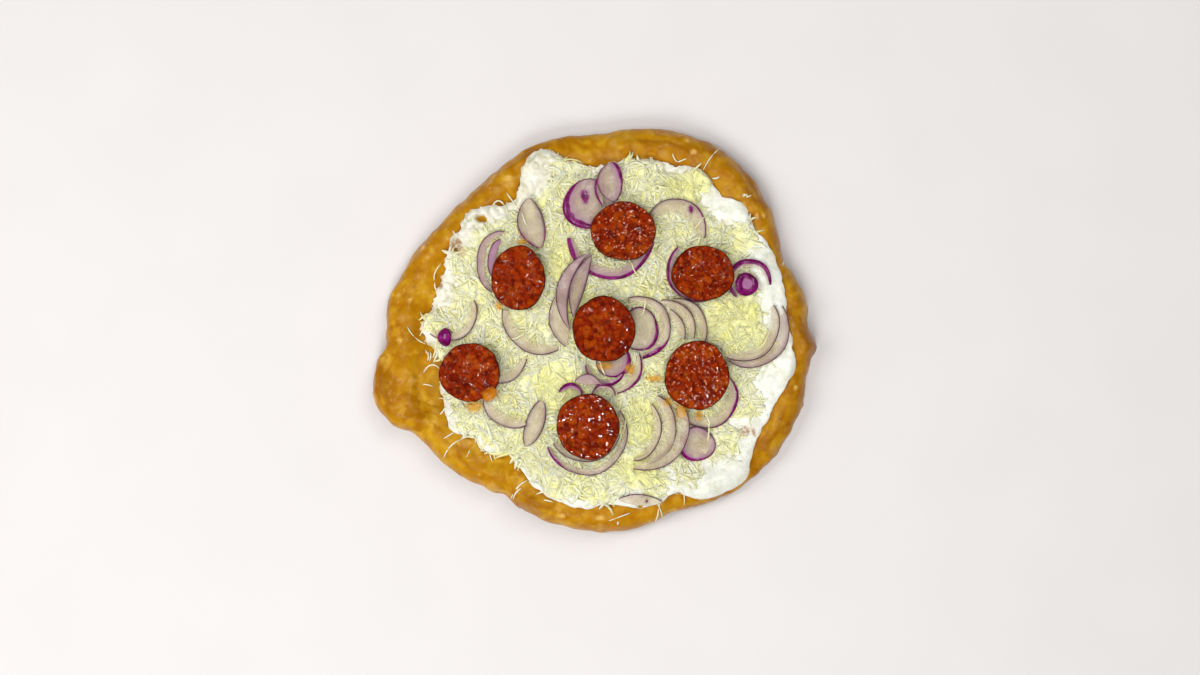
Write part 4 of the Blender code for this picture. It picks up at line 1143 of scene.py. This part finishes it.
def build_bed(material, level, density, cream, inside):
    """The close mat under the shreds. Returns the height of the top with it."""
    relief = layered(GRID_X, GRID_Y, MAT_LUMPS) + 0.35 * smooth_places(GRID_X, GRID_Y)
    over_cream = np.clip(level - 0.7 - cream, 0.2, 0.8 + 2.5 * smooth_step(0.7, 1.0, density))
    bed = cream - 0.6 + (over_cream + 0.6 + relief) * smooth_step(MAT_EDGE, 0.75, density)
    reach = reach_of(np.where(inside > 0.9, density, 0), MAT_EDGE, np.arange(10, 118, 0.5), MAT_SPOKES)
    reach = (np.roll(reach, 1) + reach + np.roll(reach, -1)) / 3
    ragged = reach + 0.6 * noise(*plan(reach), 4, 52)
    top_radius = np.linspace(0, 1, MAT_RINGS)[1:, None] ** 0.9 * ragged
    under_radius = np.array(MAT_UNDER_RINGS)[:, None] * reach
    rings = layer_rings(top_radius, under_radius, bed, cream, MAT_SUNK)
    points, faces = layer_mesh(rings, bed, cream, MAT_SUNK)
    x, y, _ = points.T
    values = cheese_places(x, y, 0.6 * (1 - smooth_step(0.4, 0.95, read_map(density, x, y))))
    values["tone"] = smooth_step(-0.6, 0.7, noise(x, y, 5, 55) + read_map(relief, x, y))
    add_piece("cheese_mat", points, faces, material, ["grated_cheese"], values)
    return np.where(density > MAT_EDGE, np.maximum(bed, cream), cream)


def shred_routes(rng, x, y, heading, length, bend):
    """Plan of curved shreds: points along each."""
    share = np.linspace(-0.5, 0.5, SHRED_POINTS)
    turn = heading[:, None] + bend[:, None] * share + rng.normal(0, 0.1, (len(x), SHRED_POINTS))
    step = (length / (SHRED_POINTS - 1))[:, None]
    way_x, way_y = np.cumsum(np.cos(turn) * step, axis=1), np.cumsum(np.sin(turn) * step, axis=1)
    return x[:, None] + way_x - way_x.mean(axis=1)[:, None], y[:, None] + way_y - way_y.mean(axis=1)[:, None]


def settle(rng, pile, ceiling, x, y, height, sink, loose):
    """Height of each shred's middle line: stiff shreds lie on the pile and under what presses on them."""
    ground = read_map(pile, x, y)
    level = ground
    for _ in range(3):
        before, after = np.roll(level, 1, axis=1), np.roll(level, -1, axis=1)
        before[:, 0], after[:, -1] = level[:, 0], level[:, -1]
        level = (before + 2 * level + after) / 4
    level = level + 0.4 * (ground - level).max(axis=1)[:, None] + (0.5 - sink) * height[:, None]
    share = np.linspace(-1, 1, SHRED_POINTS)
    rise = rng.random(len(x)) ** 6 * loose * np.sign(rng.normal(size=len(x)))
    level = level + np.clip(rise[:, None] * share, -0.3, None)
    return np.minimum(level, read_map(ceiling, x, y) - 0.6 * height[:, None])


def stamp(pile, x, y, z, width, height):
    """Shreds that lie there now raise the pile."""
    for k in range(SHRED_POINTS - 1):
        for t in np.arange(0, 1, 0.2):
            px, py = x[:, k] * (1 - t) + x[:, k + 1] * t, y[:, k] * (1 - t) + y[:, k + 1] * t
            pz = z[:, k] * (1 - t) + z[:, k + 1] * t + 0.4 * height
            heading = np.arctan2(y[:, k + 1] - y[:, k], x[:, k + 1] - x[:, k])
            for side in (-0.33, 0.0, 0.33):
                i = ((px - side * width * np.sin(heading) + MAP_HALF_X) / CELL + 0.5).astype(int)
                j = ((py + side * width * np.cos(heading) + MAP_HALF_Y) / CELL + 0.5).astype(int)
                np.maximum.at(pile, (j.clip(0, len(MAP_Y) - 1), i.clip(0, len(MAP_X) - 1)), pz)


def shred_mesh(rng, x, y, z, width, height):
    """Points and quads of four-sided, tapered strips along the routes."""
    count = len(x)
    path = np.stack([x, y, z], axis=-1)
    way = np.gradient(path, axis=1)
    way /= np.linalg.norm(way, axis=-1, keepdims=True)
    side = np.cross(way, (0, 0, 1.0))
    side /= np.linalg.norm(side, axis=-1, keepdims=True)
    up = np.cross(side, way)
    roll = rng.normal(0, 0.5, (count, 1, 1))
    side, up = side * np.cos(roll) + up * np.sin(roll), up * np.cos(roll) - side * np.sin(roll)
    taper = np.array(SHRED_TAPER) * rng.uniform(0.85, 1.15, (count, SHRED_POINTS))
    half_width = (0.5 * width[:, None] * taper)[..., None]
    half_height = (0.5 * height[:, None] * (0.4 + 0.6 * taper))[..., None]
    corners = [path + side * a * half_width + up * b * half_height for a, b in SHRED_SECTION]
    points = np.stack(corners, axis=2).reshape(-1, 3)
    first = 4 * SHRED_POINTS * np.arange(count)[:, None]
    sides = grid_faces(SHRED_POINTS, 4)
    ends = np.array([[0, 1, 2, 3], np.array([3, 2, 1, 0]) + 4 * (SHRED_POINTS - 1)])
    if enclosed_volume(points[: 4 * SHRED_POINTS], [sides]) < 0:
        sides = sides[:, ::-1]
    direction = np.cross(points[1] - points[0], points[2] - points[1]) @ (path[0, 1] - path[0, 0])
    if direction > 0:
        ends = ends[:, ::-1]
    faces = np.vstack([sides, ends])
    return points, (first[:, :, None] + faces[None]).reshape(-1, 4)


def chosen_routes(routes):
    """Plans of shreds that the photo shows one by one, each through three of its pixels."""
    t = np.linspace(0, 1, SHRED_POINTS)[:, None]
    plans = []
    for route in routes:
        start, middle, end = (np.array(from_photo(*pixel)) for pixel in route)
        pull = 2 * middle - (start + end) / 2
        plans.append(start * (1 - t) ** 2 + 2 * pull * t * (1 - t) + end * t**2)
    plans = np.array(plans)
    return plans[..., 0], plans[..., 1]


def build_shreds(name, material, rng, pile, ceiling, density, routes, sizes, sink, loose, white=0.8):
    """Shreds laid a batch at a time, each batch on what lies there already."""
    (route_x, route_y), (width, height) = routes, sizes
    count = len(route_x)
    route_z = np.empty(route_x.shape)
    for start in range(0, count, SHRED_BATCH):
        part = slice(start, start + SHRED_BATCH)
        x, y = route_x[part], route_y[part]
        deep = sink + 0.35 * smooth_places(x, y)
        route_z[part] = settle(rng, pile, ceiling, x, y, height[part], deep, loose)
        stamp(pile, x, y, route_z[part], width[part], height[part])
    points, faces = shred_mesh(rng, route_x, route_y, route_z, width, height)
    corners = 4 * SHRED_POINTS
    covered = read_map(density, route_x.mean(axis=1), route_y.mean(axis=1))
    creamy = white * (1 - smooth_step(0.15, 0.9, covered)) * rng.uniform(0.4, 1.0, count)
    values = cheese_places(points[:, 0], points[:, 1], np.repeat(creamy, corners))
    values["tone"] = np.repeat(rng.beta(2.0, 1.6, count), corners)
    add_piece(name, points, [faces], material, ["grated_cheese"], values)


def scattered(rng, count, density, power):
    """Places drawn at random, more of them where the density is higher."""
    weight = np.clip(density, 0, 1).ravel() ** power
    chosen = rng.choice(weight.size, count, p=weight / weight.sum())
    x = GRID_X.ravel()[chosen] + rng.uniform(-CELL, CELL, count)
    y = GRID_Y.ravel()[chosen] + rng.uniform(-CELL, CELL, count)
    return x, y


# Red onion


def band_edges(cx, cy, reach_x, reach_y, width, first, last):
    """Outer and inner edge of a piece of a ring that narrows at its ends."""
    share = np.linspace(0, 1, BAND_COLUMNS)
    angle = np.radians(first + (last - first) * share)
    narrowed = width * (0.35 + 0.65 * np.sqrt(np.sin(np.pi * share).clip(0)))
    wavy = 1 + 0.012 * np.sin(5 * angle + cx)
    outer_x, outer_y = reach_x * wavy, reach_y * wavy
    outer = np.stack([cx + outer_x * np.cos(angle), cy + outer_y * np.sin(angle)], axis=-1)
    inner_x, inner_y = outer_x - narrowed, outer_y - narrowed
    return outer, np.stack([cx + inner_x * np.cos(angle), cy + inner_y * np.sin(angle)], axis=-1)


def leaf_edges(x0, y0, x1, y1, left, right, blunt):
    """Both edges of a leaf from one tip to the other."""
    share = 0.5 - 0.497 * np.cos(np.pi * np.linspace(0, 1, BAND_COLUMNS))
    start, way = np.array([x0, y0]), np.array([x1 - x0, y1 - y0])
    side = np.array([-way[1], way[0]]) / np.hypot(*way)
    swell = (np.sin(np.pi * share) ** blunt)[:, None]
    middle = start + way * share[:, None]
    return middle + side * left * swell, middle - side * right * swell


def disc_edges(cx, cy, reach_x, reach_y):
    """The rim of a disc and a small ring round its middle."""
    angle = 2 * np.pi * np.arange(DISC_COLUMNS) / DISC_COLUMNS
    uneven = 1 + 0.04 * np.sin(3 * angle + cx)
    rim = np.stack([cx + reach_x * uneven * np.cos(angle), cy + reach_y * uneven * np.sin(angle)], axis=-1)
    return rim, np.array([cx, cy]) + (rim - (cx, cy)) * 0.02


class Onion:
    """A piece of onion, as rows of points that each lie some way in from its outer edge."""

    def __init__(self, name):
        self.name = name
        self.kind, *numbers = ONIONS[name]
        if name in FLESH_WIDTHS:
            numbers[4] = FLESH_WIDTHS[name]
        self.middle = numbers[:2]
        self.seed = ONION_SEED + list(ONIONS).index(name)
        self.closed = self.kind == "disc"
        if self.closed:
            self.outer, self.inner = disc_edges(*numbers)
        elif self.kind == "band":
            self.outer, self.inner = band_edges(*numbers)
        else:
            self.outer, self.inner = leaf_edges(*numbers, BLUNT_ENDS.get(name, BLUNT_OF_MOST))
        self.count = len(self.outer)
        self.width = np.linalg.norm(self.inner - self.outer, axis=-1)
        self.skin = self.skin_depth()
        self.tight = np.minimum(1, self.width / (self.skin + 2.2))
        self.far = self.width - 0.3 * self.tight
        self.top_rows, self.under_rows = self.row_depths()
        self.surface = widened_map(name, 5.0, 3)

    def skin_depth(self):
        """How far the purple skin reaches in from the outer edge, along it."""
        thin, thick, where, spread = SKINS.get(self.name, SKIN_OF_MOST)
        gap = np.abs(np.arange(self.count) / self.count - where)
        gap = np.minimum(gap, 1 - gap) if self.closed else gap
        skin = thin + (thick - thin) * np.exp(-((gap / spread) ** 2))
        skin = skin * (1 + 0.22 * noise(*self.outer.T, 5.0, self.seed))
        return np.minimum(skin, (0.85 if self.name.endswith("core") else 0.55) * self.width)

    def row_depths(self):
        """How far in the rows lie on top, from the outer edge, and on the underside, back to it."""
        near = [0 * self.skin, 0.22 * self.tight, 0.7 * self.skin, self.skin, self.skin + 0.35 * self.tight]
        steps = np.linspace(0, 1, 16 if self.closed else 8)[1:-1]
        top = near + [near[-1] + (self.far - near[-1]) * t for t in steps]
        if self.closed:
            return top, [0.88 * self.far, 0.6 * self.width, 0.3 * self.width, near[1]]
        return top + [self.far, self.width], [self.far, 0.65 * self.width, 0.35 * self.width, near[1]]

    def row_drop(self, index):
        """How far a row lies under the surface: at the rounded edges and on the underside."""
        last = len(self.top_rows) - 1
        if index > last:
            return ONION_THICKNESS - 0.1
        if index == last and not self.closed:
            return 0.4
        return {0: 0.45, 1: 0.08}.get(index, 0.0)

    def row_points(self, index, depth):
        """Points of one row, on the surface or as far under it as the row lies."""
        t = depth / np.maximum(self.width, 1e-6)
        place = self.outer * (1 - t[:, None]) + self.inner * t[:, None]
        height = read_map(self.surface, *place.T) + 0.12 * noise(*place.T, 5, self.seed + 100)
        if self.name in FLESH_WIDTHS:
            height = height - 0.35 * smooth_step(0.45, 1.0, t)
        return np.column_stack([place, height - self.row_drop(index)])

    def mesh(self):
        """Points and faces: a closed strip with two ends, or a top and an underside joined at the rim."""
        depths = self.top_rows + self.under_rows
        points = np.vstack([self.row_points(index, depth) for index, depth in enumerate(depths)])
        numbers = np.arange(len(points)).reshape(len(depths), self.count)
        if not self.closed:
            quads = quads_of(np.vstack([numbers, numbers[:1]]))
            return points, [quads, numbers[:, 0][None, ::-1], numbers[:, -1][None, :]]
        top = len(self.top_rows)
        rows = (numbers[:top], numbers[top:], numbers[[-1, 0]])
        faces = [
            np.vstack([quads_of(ring_closed(part)) for part in rows]),
            fan_faces(len(points), numbers[top - 1], inward=True),
            fan_faces(len(points) + 1, numbers[top]),
        ]
        level = float(read_map(self.surface, *self.middle))
        middles = [(*self.middle, level), (*self.middle, level - ONION_THICKNESS + 0.1)]
        return np.vstack([points, *middles]), faces

    def values(self, points):
        """What the onion's finish reads at each point."""
        depths = np.array(self.top_rows + self.under_rows)
        tail = len(points) - depths.size
        rows = (depths, np.broadcast_to(self.skin, depths.shape), np.broadcast_to(self.far, depths.shape))
        depth, skin, far = (np.append(row.ravel(), np.full(tail, row.max())) for row in rows)
        x, y, _ = points.T
        inward = np.maximum(depth - skin, 0)
        blush, reach = BLUSHES.get(self.name, BLUSH_OF_MOST)
        tint = TINTS.get(self.name, 0.0) + blush * np.exp(-inward / reach)
        tint = tint + 0.35 * np.exp(-inward / 1.3) * smooth_step(0.6, 1.6, skin)
        on_skin = depth <= skin * 1.001
        if self.name in LINED_ALL_ROUND:
            on_skin |= depth >= far * 0.999
            tint = tint + 0.25 * np.exp(-np.maximum(far - depth, 0) / 1.3)
        core = near_spots(x, y, ONION_CORES)
        thinner = 0.5 if self.kind == "band" else 0.0
        return {
            "skin": np.maximum(on_skin, core),
            "tint": np.clip(tint, 0, 1),
            "deep": np.maximum(smooth_step(0.45, 0.95, skin), core),
            "layer": 0.5 + 0.5 * np.sin(depth * 2.6 + self.seed),
            "cover": 1 - thinner * smooth_step(0.35, 1.0, depth / np.maximum(far, 1)),
            "oily": 0.4 * near_spots(x, y, OIL_STAINS),
        }


def build_onions(material):
    """All pieces of onion."""
    for name in ONIONS:
        onion = Onion(name)
        points, faces = onion.mesh()
        add_piece("red_" + name, points, faces, material, [name], onion.values(points))


# Sausage


def slice_lie(name):
    """How a slice lies: its level, its slopes, how dished its face is and how thick it is."""
    cx, cy, reach_x, reach_y, *_ = SLICES[name]
    top, under = node_map(name), node_map(name, top=False)
    known = ~np.isnan(top)
    x, y = GRID_X[known] - cx, GRID_Y[known] - cy
    away = (x / reach_x) ** 2 + (y / reach_y) ** 2
    middle = away < 0.72
    terms = np.column_stack([np.ones(middle.sum()), x[middle], y[middle], away[middle]])
    fitted = np.linalg.lstsq(terms, top[known][middle], rcond=None)[0]
    return (*fitted, np.median((top - under)[known][away < 0.3]) + 0.35)


def slice_profile(rim, dish, thickness):
    """Rows from the middle of the face round the rind to the underside: how far out, how high, how rough."""
    face = [(out, dish * out * out, 1.0) for out in np.linspace(0, 0.955, SLICE_ROWS)[1:]]
    rind = [(0.978, rim - 0.12, 0.8), (0.993, rim - 0.45, 0.5), (1.0, rim - 1.0, 0.4)]
    side = [(1.003, rim - 0.5 * thickness, 0.3), (1.0, rim - thickness + 0.5, 0.2)]
    return face + rind + side + [(out, rim - thickness, 0.0) for out in (0.965, 0.6, 0.2)]


def cut_face(x, y, lump, seed):
    """Lumps and pits of the cut face of a slice."""
    lumps = ((0.30, 4.2 * lump, seed + 1), (0.20, 2.2 * lump, seed + 2), (0.08, 1.2 * lump, seed + 3))
    return layered(x, y, lumps) - 0.4 * np.clip(noise(x, y, 2.6 * lump, seed + 4) - 0.35, 0, 1)


def build_slice(name, material):
    """One slice of sausage, set down as its node lies."""
    cx, cy, reach_x, reach_y, wet, speckle = SLICES[name]
    seed = SLICE_SEED + 10 * list(SLICES).index(name)
    level, slope_x, slope_y, dish, thickness = slice_lie(name)
    rim = 0.9 * dish
    angle = np.arange(SLICE_SPOKES) * 2 * np.pi / SLICE_SPOKES
    wobble = 0.015 * np.sin(2 * angle + cx) + 0.012 * np.sin(3 * angle + 2 * cx)
    wobble += 0.012 * np.sin(5 * angle + cy)
    wobble += 0.014 * noise(8 * np.cos(angle), 8 * np.sin(angle), 2.0, seed)
    puckers = 0.16 * np.sin(17 * angle + 3 * np.sin(3 * angle + cy))
    rings, rinds = [], []
    for out, drop, rough in slice_profile(rim, dish, thickness):
        x, y = plan(out * (1 + wobble))
        x, y = reach_x * x, reach_y * y
        uneven = cut_face(cx + x, cy + y, WET_LUMP if wet > 0.9 else 1.0, seed)
        uneven += puckers * smooth_step(0.85, 1.0, out)
        height = level + slope_x * x + slope_y * y + drop + rough * uneven
        rings.append(np.column_stack([cx + x, cy + y, height]))
        rinds.append(np.full(SLICE_SPOKES, smooth_step(0.955, 0.99, out)))
    middles = (cx, cy, level + 0.1), (cx, cy, level + rim - thickness)
    points, faces = capped_grid(np.array(rings), *middles)
    x, y, _ = points.T
    patches = smooth_step(0.62 - 0.45 * wet, 0.8 - 0.45 * wet, noise(x, y, 4.5, seed + 5) * 0.5 + 0.5)
    values = {"rind": np.append(np.ravel(rinds), (0.0, 1.0)), "wet": patches, "speckle": speckle + 0 * x}
    add_piece(name + "_meat", points, faces, material, [name], values)


# Oil


def oil_rings(index, smooth, highest):
    """Rings of points of one stain, and how much the oil covers at each ring."""
    u, v, half_x, half_y, dome, turned = OIL_STAINS[index]
    cx, cy = from_photo(u, v)
    cos_turned, sin_turned = math.cos(math.radians(turned)), math.sin(math.radians(turned))
    angle = np.arange(OIL_SPOKES) * 2 * np.pi / OIL_SPOKES
    uneven, full, strongest = (0.08, 0.55, 0.88) if dome else (0.5, 0.25, 0.62)
    lobes = 1 + uneven * noise(3 * np.cos(angle) + index * 9, 3 * np.sin(angle), 2.2, OIL_SEED)
    crown = float(read_map(highest, cx, cy)) + 0.4 * dome
    profile = [(out, 0.2) for out in np.linspace(0.02, 0.97, OIL_RINGS)]
    rings, covers = [], []
    for out, lift in [*profile, (1.0, 0.0), (0.85, -0.5), (0.05, -0.5)]:
        along, across = plan(1.25 * out * lobes)
        along, across = half_x * along, half_y * across
        x, y = cx + along * cos_turned - across * sin_turned, cy + along * sin_turned + across * cos_turned
        height = read_map(smooth, x, y) + lift
        if dome and lift > 0:
            height = np.maximum(height + 0.25, crown + dome * (0.5 - out**2) - 3.5 * out**6)
        rings.append(np.column_stack([x, y, height]))
        soft = 1 - smooth_step(full, 1.0, out)
        covers.append(np.full(OIL_SPOKES, strongest * soft if lift >= 0 else 0.0))
    return rings, covers


def build_oil(material, surface):
    """Thin films of orange oil that has run from the slices, on what lies under them."""
    smooth = blurred(over_window(surface, 1, np.maximum), 2)
    highest = over_window(surface, 6, np.maximum)
    points, quads, caps, covers, thick = [], [], [], [], []
    for index, stain in enumerate(OIL_STAINS):
        rings, cover = oil_rings(index, smooth, highest)
        first = len(points) * OIL_SPOKES
        numbers = first + np.arange(len(rings) * OIL_SPOKES)
        quads.append(grid_faces(len(rings), OIL_SPOKES, first=first))
        caps += [numbers[:OIL_SPOKES], numbers[-OIL_SPOKES:][::-1]]
        points += rings
        covers += cover
        thick.append(np.full(len(numbers), 1.0 if stain[4] else 0.0))
    values = {"cover": np.ravel(covers), "thick": np.concatenate(thick)}
    faces = [np.vstack(quads), np.vstack(caps)]
    add_piece("oil_films", np.vstack(points), faces, material, (), values)


# Stage


def add_light(name, place, width, power, tint, glossy=True):
    """A round light that looks at the food. One that isn't glossy leaves no broad haze on wet surfaces."""
    data = bpy.data.lights.new(name, "AREA")
    data.shape = "DISK"
    data.size = width
    data.energy = power
    data.color = tint
    light = bpy.data.objects.new(name, data)
    bpy.context.scene.collection.objects.link(light)
    light.location = place
    light.visible_glossy = glossy
    way = Vector((0.0, 0.0, 0.01)) - light.location
    light.rotation_euler = way.to_track_quat("-Z", "Y").to_euler()


def add_floor():
    mesh = bpy.data.meshes.new("floor")
    corners = [(x * FLOOR_HALF, y * FLOOR_HALF, 0) for x, y in ((-1, -1), (1, -1), (1, 1), (-1, 1))]
    mesh.from_pydata(corners, [], [(0, 1, 2, 3)])
    mesh.materials.append(floor_finish())
    floor = bpy.data.objects.new("floor", mesh)
    bpy.context.scene.collection.objects.link(floor)


def add_world():
    """A soft room that gives even light and leaves no haze on wet surfaces."""
    world = bpy.data.worlds.new("soft_room")
    world.use_nodes = True
    background = world.node_tree.nodes["Background"]
    background.inputs["Color"].default_value = (0.97, 0.98, 1.0, 1.0)
    background.inputs["Strength"].default_value = WORLD_STRENGTH
    world.cycles_visibility.glossy = False
    bpy.context.scene.world = world


def add_camera():
    """The camera, straight above the place that the middle of the photo shows."""
    data = bpy.data.cameras.new("camera")
    data.lens = CAMERA_LENS
    data.sensor_width = 36.0
    data.clip_start = 0.01
    camera = bpy.data.objects.new("camera", data)
    bpy.context.scene.collection.objects.link(camera)
    camera.location = (PHOTO_MIDDLE_SHOWS[0] * MM, PHOTO_MIDDLE_SHOWS[1] * MM, CAMERA_HEIGHT * MM)
    bpy.context.scene.camera = camera


def build_stage():
    add_floor()
    add_world()
    for name, light in LIGHTS.items():
        add_light(name, *light, glossy=name.startswith("glint"))
    add_camera()
    bpy.context.scene.view_settings.view_transform = "Standard"


# The whole dish


def toppings_ceiling():
    """The underside of the onion pieces and slices, where they are, and the top of everything."""
    ceiling = np.full(GRID_X.shape, NO_CEILING)
    roof = -ceiling
    for name in [*ONIONS, *SLICES]:
        ceiling = np.fmin(ceiling, node_map(name, top=False))
        roof = np.fmax(roof, node_map(name))
    return ceiling, roof


def slices_map():
    """Where the slices are: their height, and empty elsewhere."""
    found = np.full(GRID_X.shape, np.nan)
    for name in SLICES:
        found = np.fmax(found, node_map(name))
    return found


def add_strewn_shreds(rng, material, pile, ceiling, density, inside):
    """Shreds strewn over the mat, more of them where the heap is thick."""
    strewn = density * (1 + 0.5 * noise(GRID_X, GRID_Y, 12, 56)) * smooth_step(-0.5, 2.5, inside)
    for name, (count, mean_width, mean_height) in SHRED_KINDS.items():
        x, y = scattered(rng, count, strewn, 2.0)
        length = rng.triangular(5.0, 9.0, 19, count) * (0.45 + 0.55 * read_map(density, x, y))
        bend = rng.normal(0, 0.7, count) * length / 12 * np.where(rng.random(count) < 0.2, 2.4, 1.0)
        routes = shred_routes(rng, x, y, rng.uniform(0, 2 * np.pi, count), length, bend)
        width = mean_width * rng.uniform(0.6, 1.3, count)
        sizes = width, mean_height * rng.uniform(0.75, 1.2, count)
        build_shreds(name, material, rng, pile, ceiling, density, routes, sizes, sink=0.66, loose=1.4)


def add_loose_shreds(rng, material, pile, roof, density):
    """Shreds that show one by one: over the edge of the cream, on the rim and over onion."""
    stray = chosen_routes(STRAY_SHREDS)
    crumb_x, crumb_y = np.transpose([from_photo(*pixel) for pixel in RIM_CRUMBS])
    count = len(RIM_CRUMBS)
    heading, length = rng.uniform(0, 6, count), rng.uniform(1.8, 3.0, count)
    crumbs = shred_routes(rng, crumb_x, crumb_y, heading, length, np.zeros(count))
    over_onion = (roof > 0) & (density > 0.8) & np.isnan(slices_map())
    x, y = scattered(rng, LOOSE_OVER_ONION, over_onion.astype(float), 1)
    length, heading = rng.uniform(6, 11, LOOSE_OVER_ONION), rng.uniform(0, 6, LOOSE_OVER_ONION)
    over = shred_routes(rng, x, y, heading, length, rng.normal(0, 0.7, LOOSE_OVER_ONION))
    routes = [np.vstack(part) for part in zip(stray, crumbs, over)]
    count = len(routes[0])
    sizes = rng.uniform(0.65, 1.0, count), rng.uniform(0.55, 0.8, count)
    open_sky = np.full(pile.shape, NO_CEILING)
    name = "cheese_shreds_loose"
    build_shreds(name, material, rng, pile, open_sky, density, routes, sizes, sink=0.2, loose=0.6, white=0.3)


def main():
    rng = np.random.default_rng(SEED)
    build_stage()
    bread = build_bread(bread_finish())
    cream, inside = build_cream(cream_finish(), bread)
    level, density = bare_core()
    pile = build_bed(bed_finish(), level, density, cream, inside)
    ceiling, roof = toppings_ceiling()
    shreds = shred_finish()
    add_strewn_shreds(rng, shreds, pile, over_window(ceiling, 2, np.minimum), density, inside)
    pile = np.fmax(pile, roof)
    add_loose_shreds(rng, shreds, pile, roof, density)
    build_onions(onion_finish())
    sausage = sausage_finish()
    for name in SLICES:
        build_slice(name, sausage)
    build_oil(oil_finish(), np.maximum(pile, 0))


main()
